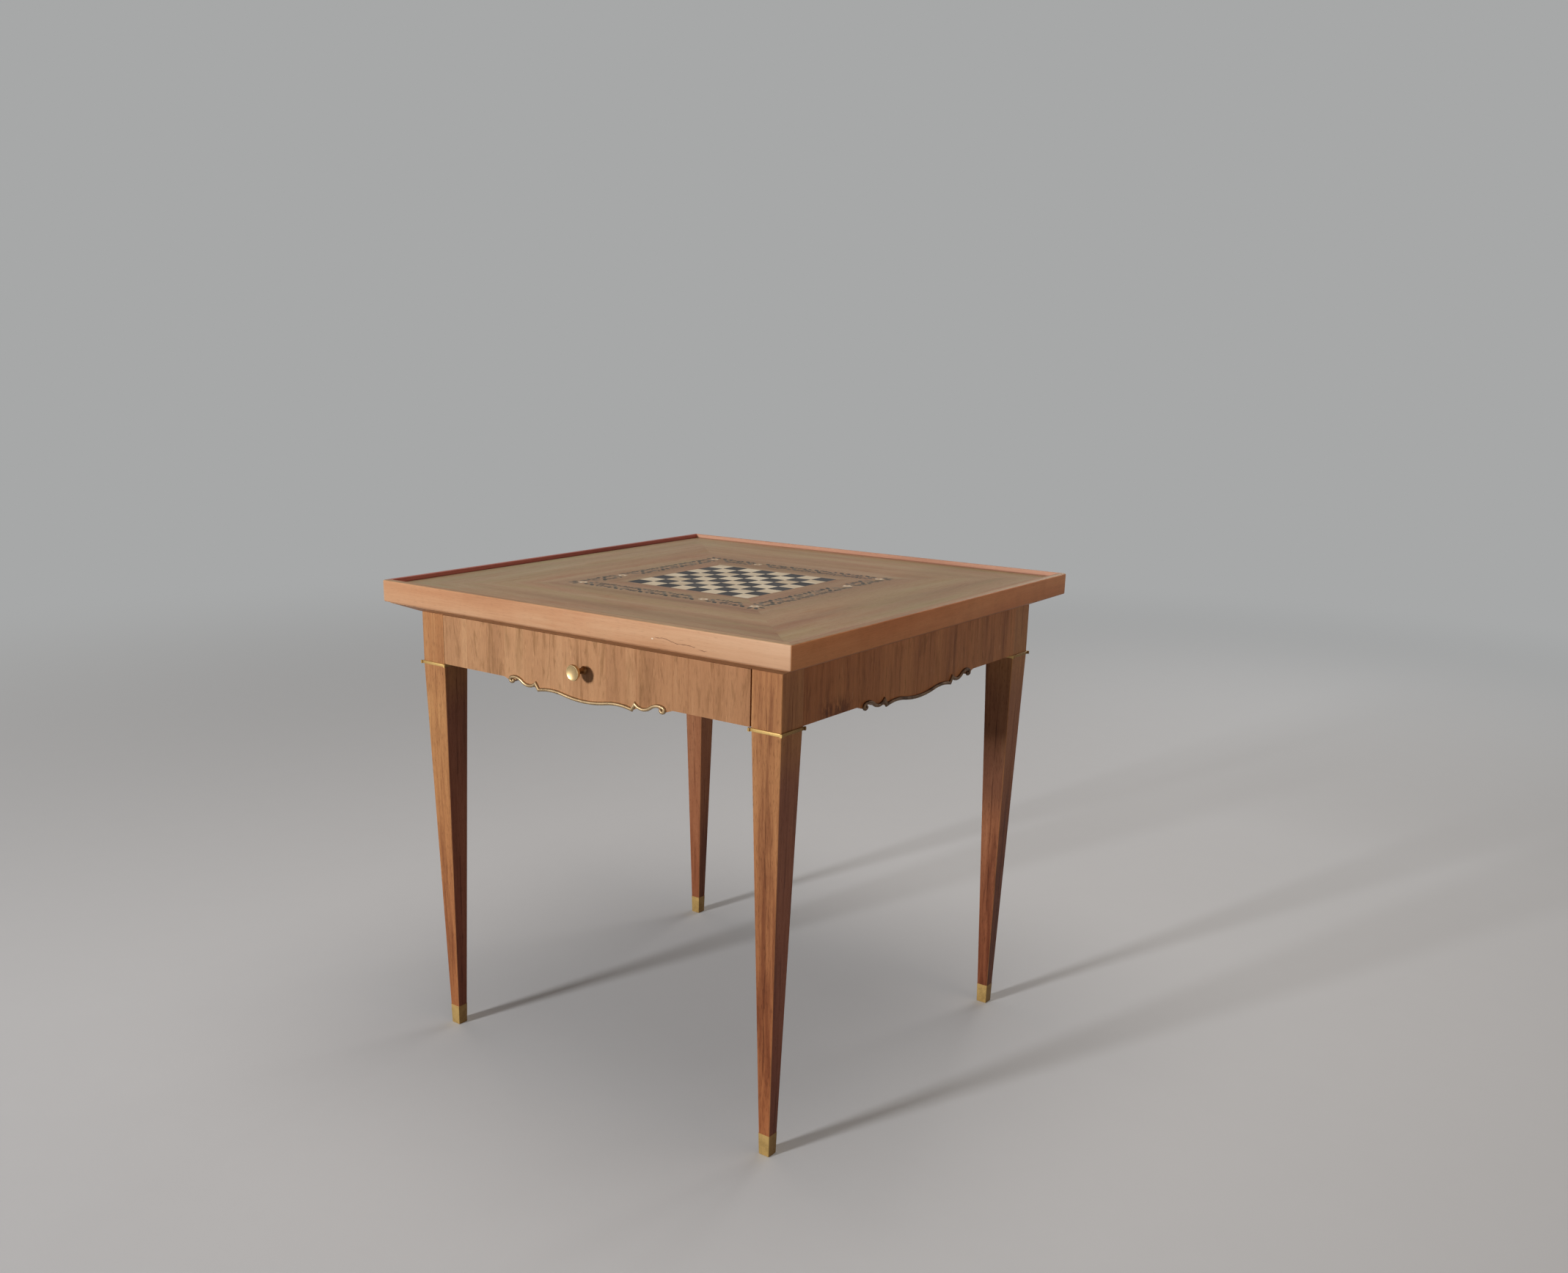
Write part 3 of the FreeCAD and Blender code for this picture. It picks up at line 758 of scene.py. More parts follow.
def make_corner_wear_and_highlight():
    # 1 along the four corners of a tapered leg, broken up by handling: pale wear, and a painted
    # highlight where the arrises would catch the light
    tree, given, wanted = new_group("corner_wear_and_highlight", MASK, Reach="Float")
    spot = parts(given["Vector"])
    half = scaled(calc("DIVIDE", spot[2], COLLAR_BOTTOM, clamp=True), FOOT_HALF, LEG_HALF)
    off = [absolute(far) for far in from_leg_middle(spot)]
    inset = less(half, calc("MINIMUM", *off))
    rub = scaled(drawn_noise(given["Vector"], *CORNER_RUB), *CORNER_RUB_SHARE)
    near = opposite(calc("DIVIDE", inset, times(given["Reach"], rub)))
    feed(wanted["Mask"], above(near, 0.0, 1.0))
    return tree


def make_leg_flank():
    # 1 on the sides of a leg that face left and right
    tree, given, wanted = new_group("leg_flank", MASK)
    off = [absolute(far) for far in from_leg_middle(parts(given["Vector"]))]
    feed(wanted["Mask"], calc("GREATER_THAN", *off))
    return tree


def make_handling():
    # Soft blotches left by hands, polish and light
    outputs = {"Cloud": "Float", "Smear": "Float"}
    tree, given, wanted = new_group("handling", outputs, Scale="Float")
    cloud = noise(given["Vector"], given["Scale"], *CLOUD)
    feed(wanted["Cloud"], above(cloud, *CLOUD_RANGE))
    smear = noise(given["Vector"], times(given["Scale"], SMEAR_SCALE), *SMEAR)
    feed(wanted["Smear"], above(smear, *SMEAR_RANGE))
    return tree


def make_brass_tarnish():
    # Bright metal under brown tarnish, with fine rubbing marks
    tree, given, wanted = new_group(
        "brass_tarnish", SURFACE, Bright="Color", Tarnish="Color", Amount="Float", Satin="Float"
    )
    where = given["Vector"]
    patch, spot = noise(where, *TARNISH_PATCH), noise(where, *TARNISH_SPOT)
    rub = drawn_noise(where, *BRASS_RUB)
    dull = plus(times(patch, TARNISH_SHARES[0]), times(spot, TARNISH_SHARES[1]))
    dull = times(above(dull, *TARNISH_RANGE), given["Amount"])
    feed(wanted["Color"], blend(dull, given["Bright"], given["Tarnish"]))
    rough = plus(scaled(rub, *BRASS_RUB_ROUGHNESS), times(dull, TARNISH_ROUGHNESS))
    feed(wanted["Roughness"], plus(rough, given["Satin"]))
    height = plus(times(rub, BRASS_HEIGHTS[0]), times(spot, BRASS_HEIGHTS[1]))
    feed(wanted["Height"], height)
    return tree


wood_grain = make_wood_grain()
corner_wear_and_highlight = make_corner_wear_and_highlight()
leg_flank = make_leg_flank()
handling = make_handling()
brass_tarnish = make_brass_tarnish()

# Materials

GRAIN_X = (0, 0, 0)
GRAIN_Y = (0, 0, -math.pi / 2)
GRAIN_Z = (0, math.pi / 2, 0)


def use(group, vector, **inputs):
    inputs["Vector"] = vector
    return put(vector.id_data, "Group", inputs, node_tree=group).outputs


def grained(vector, shades, streaks, pores):
    tones = dict(zip(TONES, (shade(*tone) for tone in shades)))
    return use(wood_grain, vector, Streaks=streaks, Pores=pores, **tones)


def new_material(name):
    material = bpy.data.materials.new(name)
    material.use_nodes = True
    tree = material.node_tree
    shader = next(n for n in tree.nodes if n.type == "BSDF_PRINCIPLED")
    where = put(tree, "TexCoord").outputs["Object"]
    return material, shader, where


def laid(where, turn, shift=(0, 0, 0)):
    # Coordinates turned so that the grain runs along their x
    inputs = {"Vector": where, "Rotation": turn, "Location": shift}
    return put(where.id_data, "Mapping", inputs).outputs[0]


def finish_shader(shader, colour, surface, relief, gloss=0.2):
    # Relief is the depth of the bumps
    bump = {"Height": surface["Height"], "Distance": relief, "Strength": 0.6}
    bump = put(shader.id_data, "Bump", bump)
    feed(shader.inputs["Base Color"], colour)
    feed(shader.inputs["Roughness"], surface["Roughness"])
    feed(shader.inputs["Normal"], bump.outputs[0])
    feed(shader.inputs["Specular IOR Level"], gloss)


BLOTCH_TINT = (0.74, 0.70, 0.66)
BLOTCH = 0.25
INLAY_BLOTCH = 0.5


def plain_wood(name, turn, shades, blotch=BLOTCH):
    material, shader, where = new_material(name)
    grain = grained(laid(where, turn), shades, streaks=0.5, pores=0.6)
    marks = use(handling, where, Scale=6.0)
    colour = tinted(grain["Color"], (times(marks["Cloud"], blotch), BLOTCH_TINT))
    finish_shader(shader, colour, grain, relief=0.12 * MM)
    return material


LEG_SHADES = ((132, 82, 52), (179, 125, 82), (199, 147, 100))
TAPER_FADE = 0.08
RED_HEIGHTS = (0.0, 0.62)
FLANK_FOOT_SHADE_HEIGHTS = (0.0, 0.32)
BACK_FLANK_SHADE_HEIGHTS = (0.05, 0.3)
BACK_LEG_SHADOW_HEIGHTS = (0.385, 0.415, 0.08)
VEIN_SWAY = ((4, 4, 5), 3.0)
VEIN_SWING = 7 * MM
VEIN_WIDTH = (0.2 * MM, 1.6 * MM)
VEIN_BREAKS = ((0.40, 0.62), (60, 60, 16), 3.0)
RUBBED_AND_LIT_SHARE = 0.55
RUBBED_AND_LIT_COLOUR = shade(208, 152, 100)


def leg_material():
    # Long vertical grain with a dark vein and pale corners, worn and with a painted highlight,
    # redder towards the foot. Painted shade darkens the flanks and the back legs, a painted shadow
    # crosses the back right leg's face, and painted light makes the left front leg's face paler
    material, shader, where = new_material("leg_wood")
    grain = grained(laid(where, GRAIN_Z), LEG_SHADES, streaks=0.6, pores=0.8)
    spot = parts(where)
    height = spot[2]
    right, behind = (calc("GREATER_THAN", spot[n], 0.0) for n in (0, 1))
    flank = use(leg_flank, where)["Mask"]
    front_flank = times(flank, opposite(behind))
    tapered = below(height, COLLAR_BOTTOM - TAPER_FADE, COLLAR_BOTTOM)
    face = times(opposite(flank), tapered)
    sway = scaled(drawn_noise(where, *VEIN_SWAY), -VEIN_SWING, VEIN_SWING)
    off = [absolute(plus(far, sway)) for far in from_leg_middle(spot)]
    vein = below(calc("MINIMUM", *off), *VEIN_WIDTH)
    colour = tinted(
        grain["Color"],
        (below(height, *RED_HEIGHTS), (0.89, 0.70, 0.66)),
        # Painted shade: darker back legs, darker flanks, and flanks darker still near the floor
        (times(tapered, behind), (0.76, 0.70, 0.80)),
        (times(tapered, front_flank), (0.74, 0.66, 0.95)),
        (times(front_flank, below(height, *FLANK_FOOT_SHADE_HEIGHTS)), (0.78, 0.80, 0.88)),
        (times(flank, behind, below(height, *BACK_FLANK_SHADE_HEIGHTS)), (0.70, 0.74, 0.85)),
        # Painted shadow across the back right leg's face, painted light on the left front leg's
        # face
        (times(face, behind, right, window(height, *BACK_LEG_SHADOW_HEIGHTS)), (0.56, 0.54, 0.58)),
        (times(face, opposite(behind), opposite(right)), (1.10, 1.17, 1.14)),
        (times(vein, patches(where, *VEIN_BREAKS)), (0.54, 0.46, 0.42)),
    )
    # Pale corners: wear, and a painted highlight on the arrises
    rubbed_and_lit = use(corner_wear_and_highlight, where, Reach=1.4 * MM)["Mask"]
    colour = blend(times(rubbed_and_lit, RUBBED_AND_LIT_SHARE), colour, RUBBED_AND_LIT_COLOUR)
    finish_shader(shader, colour, grain, relief=0.15 * MM)
    return material


LEAVES_PER_METRE = 21.0
SMOKE = ((0.50, 0.67), (9, 60, 60), 4.0, 0.6, 0.6)
SMOKE_AND_SHADE_BY_HEIGHT = (0.35, 0.8, 0.60, 0.68)
FLECK = ((0.52, 0.70), (22, 110, 110), 4.0, 0.6, 0.6)
GLINT = ((0.66, 0.76), (42, 520, 520), 2.0)
GLINT_SHARE = 0.5
GLINT_COLOUR = shade(220, 172, 128)
JOINT_WIDTH = (0.004, 0.016)
SHADED_END_RANGE = (-0.1, 0.33)
STAIN_ALONG = (-0.232, -0.195, 0.03)
STAIN_HEIGHTS = (0.602, 0.616, 0.02)
STAIN_EDGE = ((0.36, 0.58), (60, 140, 60), 4.0, 0.65)
STAIN_TINT = (0.42, 0.34, 0.30)


def apron_material(name, turn, shades, shaded_end, stained=False):
    # Upright leaves of veneer side by side, each with its own tone and figure. One end, given as 1
    # or -1, is darkened by painted shade
    material, shader, where = new_material(name)
    tree = where.id_data
    spot = parts(where)
    along = parts(laid(where, turn))[0]
    cells = {"W": times(along, LEAVES_PER_METRE), "Scale": 1.0}
    row = {"voronoi_dimensions": "1D"}
    tone = put(tree, "TexVoronoi", cells, **row).outputs["Color"]
    joint = put(tree, "TexVoronoi", cells, feature="DISTANCE_TO_EDGE", **row)
    moved = vector_calc("ADD", laid(where, GRAIN_Z), tone)[0]
    grain = grained(moved, shades, streaks=0.42, pores=0.5)
    colour = tinted(
        grain["Color"],
        (parts(tone)[0], (0.976, 0.970, 0.962)),
        # Smoky streaks in the veneer, stronger towards the top: painted shade under the rim
        (times(patches(moved, *SMOKE), scaled(spot[2], *SMOKE_AND_SHADE_BY_HEIGHT)), (0.64, 0.61, 0.52)),
        (patches(moved, *FLECK), (0.744, 0.728, 0.664)),
    )
    colour = blend(times(patches(moved, *GLINT), GLINT_SHARE), colour, GLINT_COLOUR)
    colour = tinted(
        colour,
        (below(joint.outputs["Distance"], *JOINT_WIDTH), (0.84, 0.79, 0.74)),
        # Painted shade darkening one end of the piece
        (above(times(along, shaded_end), *SHADED_END_RANGE), (0.85, 0.78, 0.73)),
    )
    if stained:
        stain = times(window(spot[1], *STAIN_ALONG), window(spot[2], *STAIN_HEIGHTS))
        stain = times(stain, calc("GREATER_THAN", spot[0], 0.0), patches(where, *STAIN_EDGE))
        colour = tinted(colour, (stain, STAIN_TINT))
    finish_shader(shader, colour, grain, relief=0.12 * MM)
    return material


RIM_MOTTLE = (0.5, 0.15)
RIM_TOP_FADE = (TABLE_TOP - 1.3 * MM, TABLE_TOP - 0.4 * MM)
RIM_WALL_FADE = (RIM_INSIDE + 0.4 * MM, RIM_INSIDE + 1.6 * MM)
RIM_FOOT_DARK_FADE = (PLAY_LEVEL + 0.6 * MM, PLAY_LEVEL + 2.2 * MM)
RIM_FOOT_DARK_TINT = (0.52, 0.46, 0.42)
WORN_FROM = 0.16
WORN_SHARE = 0.4
WORN_COLOUR = shade(228, 190, 158)
SHAKE_WAVES = 150.0
SHAKE_WAVE_HEIGHT = 0.8 * MM
SHAKE_LINE = (-0.088, 0.7266)
SHAKE_FRAY = (260.0, 3.0, 0.6)
SHAKE_FRAY_REACH = 1.6 * MM
SHAKE_WIDTH = (0.15 * MM, 0.6 * MM)
SHAKE_ALONG = (0.166, 0.243, 0.006)
SHAKE_DEPTH = 1.5 * MM
SHAKE_BREAKS = 75.0
SHAKE_BREAK_RANGE = (0.40, 0.50)
SHAKE_SHARE = 0.85
SHAKE_COLOUR = shade(112, 74, 52)
CHIP_STRETCH = (0.8, 0.0, 1.2)
CHIP_STRETCHED_PLACE = (0.1264, 0.0, 0.8514)
CHIP_SIZE = (0.6 * MM, 1.8 * MM)
CHIP_COLOUR = shade(240, 222, 200)


def shake_and_chip(colour, where, spot):
    # The worn right end of the front piece, with a long shake and a small chip
    worn = above(spot[0], WORN_FROM, RIM_FACE)
    colour = blend(times(worn, WORN_SHARE), colour, WORN_COLOUR)
    wave = calc("SINE", times(spot[0], SHAKE_WAVES))
    fall = calc("MULTIPLY_ADD", spot[0], *SHAKE_LINE)
    fray = scaled(noise(where, *SHAKE_FRAY), -SHAKE_FRAY_REACH, SHAKE_FRAY_REACH)
    path = plus(calc("MULTIPLY_ADD", wave, SHAKE_WAVE_HEIGHT, fall), fray)
    shake = times(
        below(absolute(less(spot[2], path)), *SHAKE_WIDTH),
        window(spot[0], *SHAKE_ALONG),
        calc("LESS_THAN", spot[1], SHAKE_DEPTH - RIM_FACE),
        above(noise(where, SHAKE_BREAKS), *SHAKE_BREAK_RANGE),
        SHAKE_SHARE,
    )
    colour = blend(shake, colour, SHAKE_COLOUR)
    chip = vector_calc("MULTIPLY", where, CHIP_STRETCH)[0]
    chip = vector_calc("DISTANCE", chip, CHIP_STRETCHED_PLACE)
    return blend(below(chip["Value"], *CHIP_SIZE), colour, CHIP_COLOUR)


def rim_material(name, across, face, top, wall, cracked=False):
    # Its own wood on the face, the top and the inner wall, darker at the wall's foot; across is
    # the axis from the face to the wall
    material, shader, where = new_material(name)
    along = laid(where, (GRAIN_Y, GRAIN_X)[across])
    grain = grained(along, face, streaks=0.4, pores=0.3)
    marks = use(handling, where, Scale=5.0)
    spot = parts(where)
    colour = tinted(
        grain["Color"],
        (marks["Cloud"], (0.964, 0.904, 0.868)),
        (times(marks["Smear"], RIM_MOTTLE[across]), (0.80, 0.79, 0.72)),
    )
    if cracked:
        colour = shake_and_chip(colour, where, spot)
    lifted = above(spot[2], *RIM_TOP_FADE)
    colour = blend(lifted, colour, grained(along, top, streaks=0.4, pores=0.5)["Color"])
    inside = below(absolute(spot[across]), *RIM_WALL_FADE)
    colour = blend(inside, colour, grained(along, wall, streaks=0.4, pores=0.3)["Color"])
    low = below(spot[2], *RIM_FOOT_DARK_FADE)
    colour = tinted(colour, (times(inside, low), RIM_FOOT_DARK_TINT))
    finish_shader(shader, colour, grain, relief=0.1 * MM)
    return material


FIELD_SIDE_SHIFT = (3, 0, 0)
FADE_SHEEN_REACH = (0.18, 0.36)
FADE_SHEEN_SHARE = (0.15, 0.6)
FADE_SHEEN_COLOUR = shade(151, 135, 107)
BAND = ((0.44, 0.66), (5, 60, 60), 4.0, 0.6, 0.5)
BAND_SHARE = (0.35, 1.0)
HUE = ((4, 30, 30), 4.0, 0.6, 0.6)
MAUVE_RANGE = (0.50, 0.68)
GREENISH_RANGE = (0.34, 0.50)
SHADED_X = (0.13, 0.20)
SHADED_Y = (-0.2, 0.05)
REFLECTION_X = (-0.31, -0.2)
BOARD_REACH = (0.17, 0.24)


def top_material():
    # Four quarters of veneer that meet on the diagonals, with the grain along the nearest rim.
    # Mauve and greenish streaks, paler towards the rim through fading and a painted sheen, darker
    # on the right through painted shade, greyer on the left through a painted reflection
    material, shader, where = new_material("field_veneer")
    spot = parts(where)
    out_x, out_y = absolute(spot[0]), absolute(spot[1])
    lays = laid(where, GRAIN_X), laid(where, GRAIN_Y, FIELD_SIDE_SHIFT)
    along = mix("VECTOR", calc("GREATER_THAN", out_x, out_y), *lays)
    grain = grained(along, FIELD_SHADES, streaks=0.4, pores=0.5)
    marks = use(handling, where, Scale=4.0)
    reach = calc("MAXIMUM", out_x, out_y)
    # Paler towards the rim: fading, and a painted sheen
    fade_sheen = times(above(reach, *FADE_SHEEN_REACH), scaled(marks["Cloud"], *FADE_SHEEN_SHARE))
    hue = drawn_noise(along, *HUE)
    colour = tinted(
        blend(fade_sheen, grain["Color"], FADE_SHEEN_COLOUR),
        (times(patches(along, *BAND), scaled(marks["Smear"], *BAND_SHARE)), (0.90, 0.76, 0.68)),
        (above(hue, *MAUVE_RANGE), (0.984, 0.896, 0.904)),
        (below(hue, *GREENISH_RANGE), (0.944, 1.0, 0.92)),
        # Painted shade on the right, painted reflection of the backdrop on the left
        (times(above(spot[0], *SHADED_X), above(spot[1], *SHADED_Y)), (0.86, 0.87, 0.83)),
        (below(spot[0], *REFLECTION_X), (1.02, 1.10, 1.18)),
        (below(reach, *BOARD_REACH), (0.90, 0.92, 0.97)),
    )
    finish_shader(shader, colour, grain, relief=0.1 * MM)
    return material


SQUARE_TINT = (0.92, 0.912, 0.904)


def square_material(name, shades):
    # Each square of the board has its own tone and grain
    material, shader, where = new_material(name)
    side = BOARD_HALF / 4
    cell = vector_calc("MULTIPLY", where, (1 / side, 1 / side, 0))[0]
    cell = {"Vector": vector_calc("FLOOR", cell)[0]}
    chance = put(where.id_data, "TexWhiteNoise", cell, noise_dimensions="3D").outputs
    moved = vector_calc("ADD", where, chance["Color"])[0]
    grain = grained(moved, shades, streaks=0.6, pores=0.3)
    colour = tinted(grain["Color"], (chance["Value"], SQUARE_TINT))
    finish_shader(shader, colour, grain, relief=0.08 * MM)
    return material


NECK_SHADOW_FADE = 4.0 * MM
NECK_SHADOW_TINT = (0.38, 0.30, 0.26)
BRASS_FLANK_SHADE_TINT = (0.50, 0.44, 0.40)


def brass_material(
    name, bright, tarnish, amount, satin, metallic=1.0, shadow_from=None, shaded_flanks=False
):
    # Painted shadow behind a given depth on the knob, painted shade on the flanks of a leg
    material, shader, where = new_material(name)
    tones = {"Bright": shade(*bright), "Tarnish": shade(*tarnish)}
    metal = use(brass_tarnish, where, Amount=amount, Satin=satin, **tones)
    colour = metal["Color"]
    if shadow_from is not None:
        # Painted shadow of the knob's disc on its neck and base
        neck = above(parts(where)[1], shadow_from - NECK_SHADOW_FADE, shadow_from)
        colour = tinted(colour, (neck, NECK_SHADOW_TINT))
    if shaded_flanks:
        # Painted shade on the flanks of the collars and foot caps
        colour = tinted(colour, (use(leg_flank, where)["Mask"], BRASS_FLANK_SHADE_TINT))
    finish_shader(shader, colour, metal, relief=0.03 * MM, gloss=0.5)
    feed(shader.inputs["Metallic"], metallic)
    return material


# Shades from deep to pale

FIELD_SHADES = ((139, 108, 82), (156, 127, 99), (166, 142, 113))
RIM_SHADES = ((186, 134, 98), (205, 155, 118), (216, 172, 136))
RIM_BACK_SHADES = ((172, 124, 100), (190, 142, 118), (202, 158, 134))
# Side rims: deeper and redder, a painted shade of the sides
RIM_SHADED_SIDES = ((190, 119, 73), (209, 139, 90), (219, 153, 104))
# Dark red-brown: painted shade of the rims' inner walls and of the left rim's top
RIM_SHADED_WALLS = ((130, 66, 56), (150, 80, 68), (168, 96, 82))
APRON_SHADES = ((179, 133, 96), (191, 144, 105), (203, 157, 117))
# Side aprons: deeper and redder, a painted shade of the sides
APRON_SHADED_SIDES = ((158, 102, 63), (194, 132, 85), (214, 152, 101))
MOULD_SHADES = ((156, 106, 72), (192, 138, 98), (210, 160, 120))
CARCASS_SHADES = ((150, 108, 68), (186, 146, 100), (206, 170, 124))
DRAWER_SHADES = ((170, 130, 84), (202, 166, 118), (218, 188, 144))
CORE_SHADES = ((140, 104, 70), (176, 138, 98), (196, 162, 122))
LIGHT_SHADES = ((184, 166, 140), (205, 193, 171), (214, 206, 188))
DARK_SHADES = ((31, 29, 31), (42, 41, 44), (59, 58, 60))
DARK_LEAF_SHADES = ((34, 38, 36), (46, 51, 48), (66, 70, 64))
GREY_LEAF_SHADES = ((84, 80, 72), (104, 99, 89), (124, 117, 104))
VINE_SHADES = ((100, 86, 67), (120, 104, 81), (135, 119, 94))
FLOWER_SHADES = ((184, 168, 144), (208, 197, 178), (222, 214, 198))
HEART_SHADES = ((150, 110, 70), (176, 136, 92), (190, 156, 112))

# Materials on the solids


def dress(material, *nodes):
    for name in nodes:
        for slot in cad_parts[name].material_slots:
            slot.material = material


dress(leg_material(), *("leg_" + corner for corner in CORNERS))
dress(apron_material("apron_veneer_x", GRAIN_X, APRON_SHADES, 1.0), "drawer_front", "apron_back")
# The side aprons' veneer, with painted shade in its tones
shaded_veneer = apron_material("apron_veneer_y", GRAIN_Y, APRON_SHADED_SIDES, -1.0, stained=True)
dress(shaded_veneer, "apron_right", "apron_left")
dress(plain_wood("moulding_wood_x", GRAIN_X, MOULD_SHADES), "bed_mould_front", "bed_mould_back")
dress(plain_wood("moulding_wood_y", GRAIN_Y, MOULD_SHADES), "bed_mould_right", "bed_mould_left")
dress(plain_wood("carcass_wood_x", GRAIN_X, CARCASS_SHADES), "front_top_rail", "front_bearer_rail")
side_carcass = plain_wood("carcass_wood_y", GRAIN_Y, CARCASS_SHADES)
for side in ("left", "right"):
    dress(side_carcass, "runner_" + side, "guide_" + side, "kicker_" + side)
dress(plain_wood("drawer_wood_x", GRAIN_X, DRAWER_SHADES), "drawer_back", "drawer_bottom")
dress(plain_wood("drawer_wood_y", GRAIN_Y, DRAWER_SHADES), "drawer_side_left", "drawer_side_right")
dress(plain_wood("core_wood", GRAIN_X, CORE_SHADES), "top_core")
dress(top_material(), "field_veneer")
dress(square_material("light_squares", LIGHT_SHADES), "squares_light")
dress(square_material("dark_squares", DARK_SHADES), "squares_dark")

# Finer pieces: rim, with wood for its face, its top and its inner wall

rim_woods = (
    rim_material("rim_wood_front", 1, RIM_SHADES, FIELD_SHADES, RIM_SHADES, cracked=True),
    # Right and left rims: painted shade in their face tones and walls, and on the left rim's top
    rim_material("rim_wood_right", 0, RIM_SHADED_SIDES, FIELD_SHADES, RIM_SHADED_WALLS),
    rim_material("rim_wood_back", 1, RIM_SHADES, RIM_BACK_SHADES, RIM_BACK_SHADES),
    rim_material("rim_wood_left", 0, RIM_SHADED_SIDES, RIM_SHADED_WALLS, RIM_SHADED_WALLS),
)
for turns, side in enumerate(SIDES):
    wood = rim_woods[turns]
    place("rim_bar_" + side, rim_bar(turns), "table", wood, ["rim_" + side])

# Brass: bright and tarnished shade, amount of tarnish, satin

KNOB_NECK = -FACE - 14 * MM
knob_brass = brass_material(
    "knob_brass", (214, 186, 138), (150, 120, 80), 0.5, 0.31, shadow_from=KNOB_NECK
)
band_brass = brass_material(
    "band_brass", (214, 180, 114), (162, 128, 74), 0.6, 0.42, metallic=0.6, shaded_flanks=True
)
fitting_brass = brass_material("fitting_brass", (190, 156, 98), (140, 108, 64), 0.6, 0.42)
bead_brass = brass_material("bead_brass", (198, 172, 134), (112, 90, 64), 0.8, 0.36)
# The side beads' brass is darker: painted shade of the shaded sides
shaded_bead_brass = brass_material("shaded_bead_brass", (126, 100, 78), (52, 38, 32), 0.9, 0.36)

for turns, corner in enumerate(CORNERS, -1):
    band, cup = collar(turns), sabot(turns)
    place("collar_band_" + corner, band, "table", band_brass, ["collar_" + corner])
    place("sabot_cup_" + corner, cup, "table", band_brass, ["sabot_" + corner])
knob = turned_pieces(KNOB_PROFILE, FORWARD, KNOB_STEPS, (0, -FACE, KNOB_HEIGHT))
place("turned_knob", knob, "drawer", knob_brass, ["knob"])
rivet = turned_pieces(KNOB_RIVET, -FORWARD, RIVET_STEPS, (0, FRONT_INSIDE, KNOB_HEIGHT))
place("knob_rivet", rivet, "drawer", fitting_brass)
pin_feet = [(number * PIN_SPACING, PIN_ROW, PIN_LEVEL) for number in range(-2, 3)]
pins = turned_pieces(PIN_HEAD, -UP, PIN_STEPS, *pin_feet)
place("drawer_bottom_pins", pins, "drawer", fitting_brass)
place("top_screws", top_screws(), "table", fitting_brass)
place("edge_bead_drawer", bead(0), "drawer", bead_brass, ["bead_drawer"])
for turns, side in enumerate(SIDES[1:], 1):
    place("edge_bead_" + side, bead(turns), "table", shaded_bead_brass, ["bead_" + side])

# Garland

for colour, shades in (("dark", DARK_LEAF_SHADES), ("grey", GREY_LEAF_SHADES)):
    name = colour + "_leaves"
    wood = plain_wood(name, GRAIN_X, shades, INLAY_BLOTCH)
    leaves = garland_leaves(colour)
    place("garland_leaves_" + colour, leaves, "table", wood, ["inlay_leaves_" + colour])
wood = plain_wood("vine_wood", GRAIN_X, VINE_SHADES, INLAY_BLOTCH)
place("garland_vine", garland_vine(), "table", wood)
wood = plain_wood("flower_wood", GRAIN_X, FLOWER_SHADES)
petals = garland_flowers(FLOWER_RADIUS, PETAL_DEPTH, FLOWER_PROUD)
place("garland_flowers", petals, "table", wood, ["inlay_flowers"])
wood = plain_wood("flower_heart_wood", GRAIN_X, HEART_SHADES)
hearts = garland_flowers(HEART_RADIUS, 0.0, HEART_PROUD)
place("garland_flower_hearts", hearts, "table", wood, ["inlay_flower_hearts"])


# Floor, light and camera

BACKDROP = shade(167, 168, 168)
FLOOR = (0.61, 0.64, 0.69, 1.0)
FLOOR_DARK = (0.54, 0.565, 0.61, 1.0)
FLOOR_BOUNCE = (0.09, 0.08, 0.08, 1.0)
FLOOR_MOTTLE = (14.0, 5.0, 0.6)
FLOOR_MOTTLE_SHARE = (0.0, 0.2)
FLOOR_TO_BACKDROP = (1.0, 5.0)
FILL = (1.0, 0.84, 0.70, 1.0)

# Lamps: name, place, height of the spot they face above the middle, size, power, colour
LAMPS = (
    ("window_light", (-1.7, -6.3, 2.15), 0.5, 0.7, 330.0, (1.0, 0.97, 0.93)),
    ("ceiling_light", (0.2, -0.1, 2.9), 0.6, 1.8, 29.0, (1.0, 0.90, 0.79)),
    ("side_light", (7.0, -0.35, 1.2), 0.5, 3.5, 62.0, (1.0, 0.77, 0.58)),
    ("left_light", (-7.0, 1.2, 1.8), 0.5, 3.5, 60.0, (1.0, 0.88, 0.76)),
    ("back_light", (0.2, 3.6, 2.2), 0.5, 2.0, 40.0, (1.0, 0.93, 0.85)),
)
CAMERA_PLACE = (1.32802, -1.74029, 1.06733)
CAMERA_AZIMUTH = math.radians(39.0405)
CAMERA_ELEVATION = math.radians(15.1051)
CAMERA_ROLL = math.radians(0.3792)


def seen_directly(tree):
    # 1 for the camera and for reflections, 0 for light on its way to another surface
    path = put(tree, "LightPath").outputs
    seen = calc("MAXIMUM", path["Is Camera Ray"], path["Is Glossy Ray"])
    return calc("MAXIMUM", seen, path["Is Transmission Ray"])


def mixed_shader(share, first, second, out):
    mixed = put(share.id_data, "MixShader", {0: share})
    feed(mixed.inputs[1], first.outputs[0])
    feed(mixed.inputs[2], second.outputs[0])
    feed(out.inputs["Surface"], mixed.outputs[0])


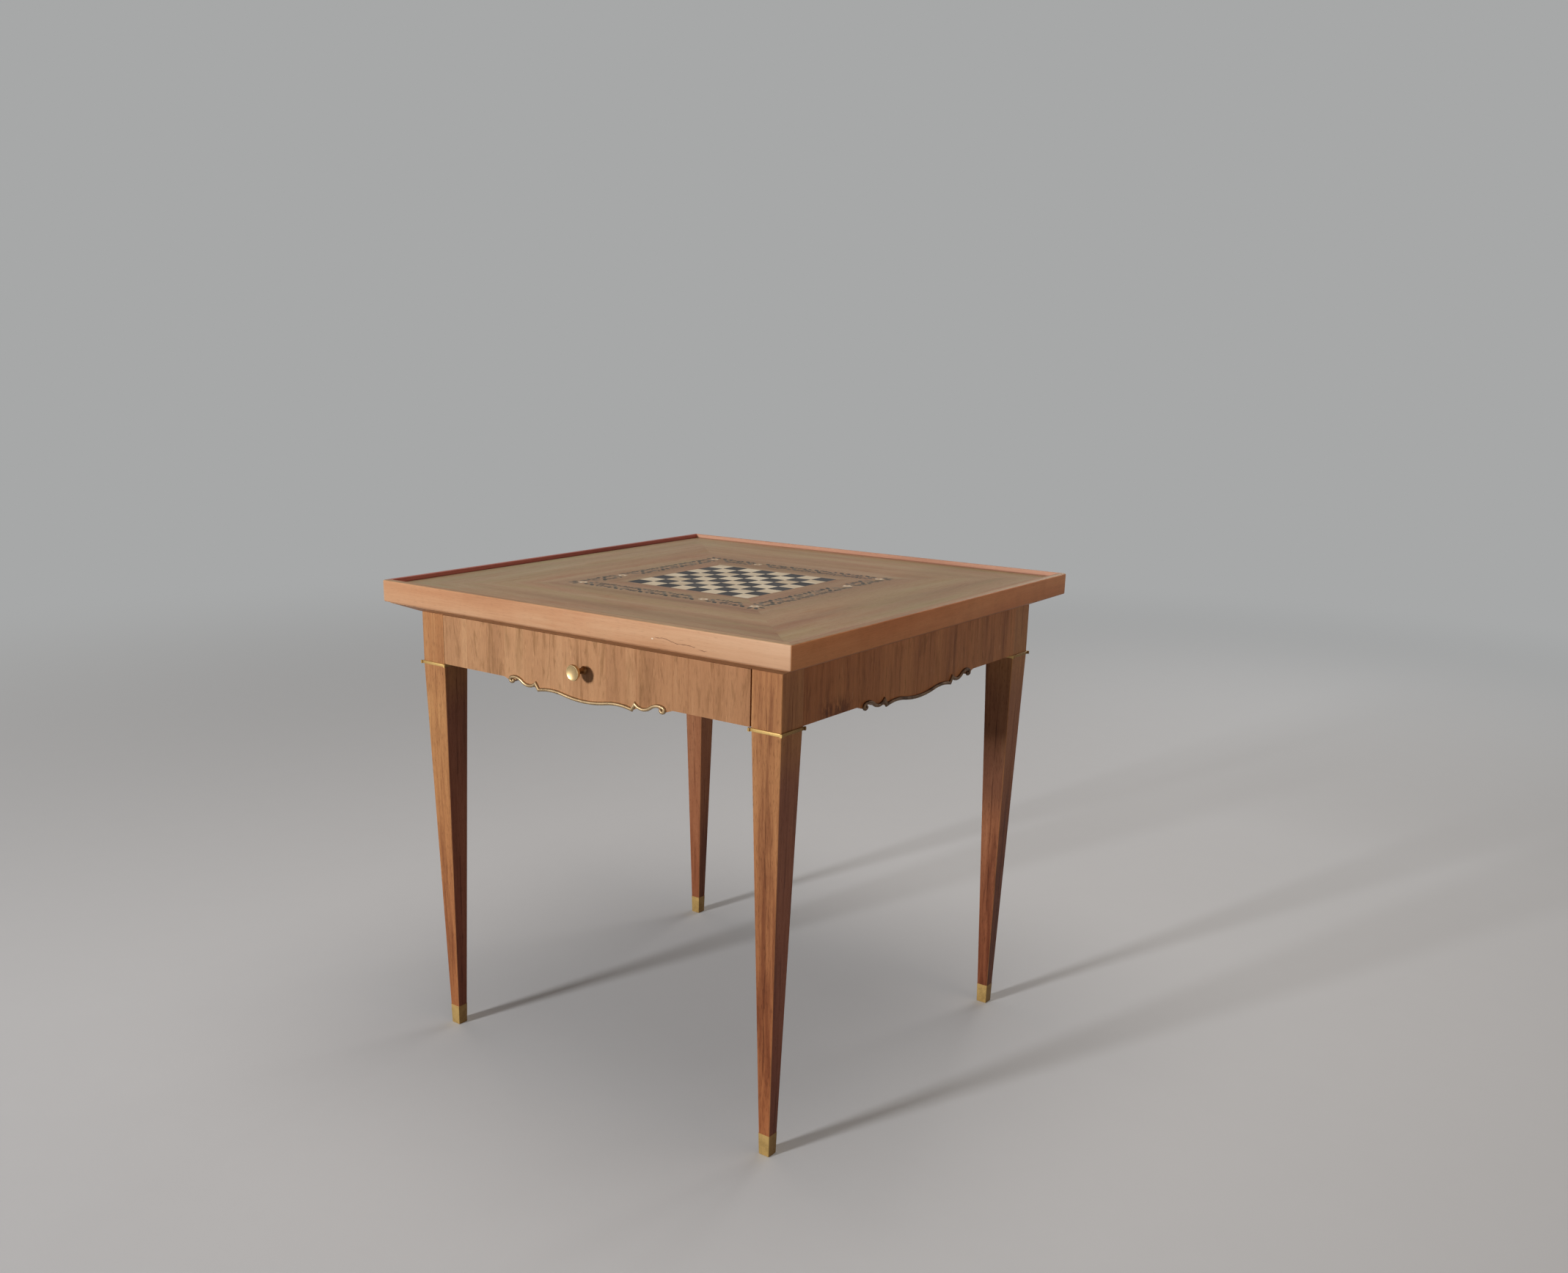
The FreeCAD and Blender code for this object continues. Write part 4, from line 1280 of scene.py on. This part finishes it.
def floor():
    # Pale paper round the table that fades into the backdrop
    bm = bmesh.new()
    bmesh.ops.create_circle(bm, cap_ends=True, segments=64, radius=30.0)
    material, shader, where = new_material("floor_paper")
    tree = where.id_data
    mottle = scaled(noise(where, *FLOOR_MOTTLE), *FLOOR_MOTTLE_SHARE)
    paper = blend(mottle, FLOOR, FLOOR_DARK)
    feed(shader.inputs["Base Color"], blend(seen_directly(tree), FLOOR_BOUNCE, paper))
    feed(shader.inputs["Roughness"], 0.8)
    glow = put(tree, "Emission", {"Color": BACKDROP})
    far = above(vector_calc("LENGTH", where)["Value"], *FLOOR_TO_BACKDROP)
    out = next(n for n in tree.nodes if n.type == "OUTPUT_MATERIAL")
    mixed_shader(far, shader, glow, out)
    piece = new_piece("floor", bm, material)


def studio_air():
    # Even light from all round, and the backdrop's colour where the camera or a shiny surface
    # looks past the floor
    world = bpy.data.worlds.new("studio_air")
    scene.world = world
    world.use_nodes = True
    tree = world.node_tree
    tree.nodes.clear()
    fill = put(tree, "Background", {"Color": FILL, "Strength": 0.05})
    view = put(tree, "Background", {"Color": BACKDROP, "Strength": 1.0})
    mixed_shader(seen_directly(tree), fill, view, put(tree, "OutputWorld"))


def lamp(name, at, facing, size, power, colour):
    light = bpy.data.lights.new(name, "AREA")
    light.size = size
    light.energy = power
    light.color = colour
    holder = new_object(name, light)
    holder.location = at
    way = Vector((0, 0, facing)) - Vector(at)
    holder.rotation_euler = way.to_track_quat("-Z", "Y").to_euler()


def camera():
    lens = bpy.data.cameras.new("camera")
    lens.sensor_width = 36.0
    lens.lens = 32.829
    lens.shift_x, lens.shift_y = 0.06018, 0.06277
    level = Vector((math.sin(CAMERA_AZIMUTH), -math.cos(CAMERA_AZIMUTH), 0))
    back = (level + UP * math.tan(CAMERA_ELEVATION)).normalized()
    right = UP.cross(back).normalized()
    axes = Matrix((right, back.cross(right), back)).transposed()
    view = (axes @ Matrix.Rotation(CAMERA_ROLL, 3, "Z")).to_4x4()
    scene.camera = new_object("camera", lens)
    scene.camera.matrix_world = Matrix.Translation(CAMERA_PLACE) @ view


floor()
studio_air()
for settings in LAMPS:
    lamp(*settings)
camera()
scene.view_settings.view_transform = "Standard"
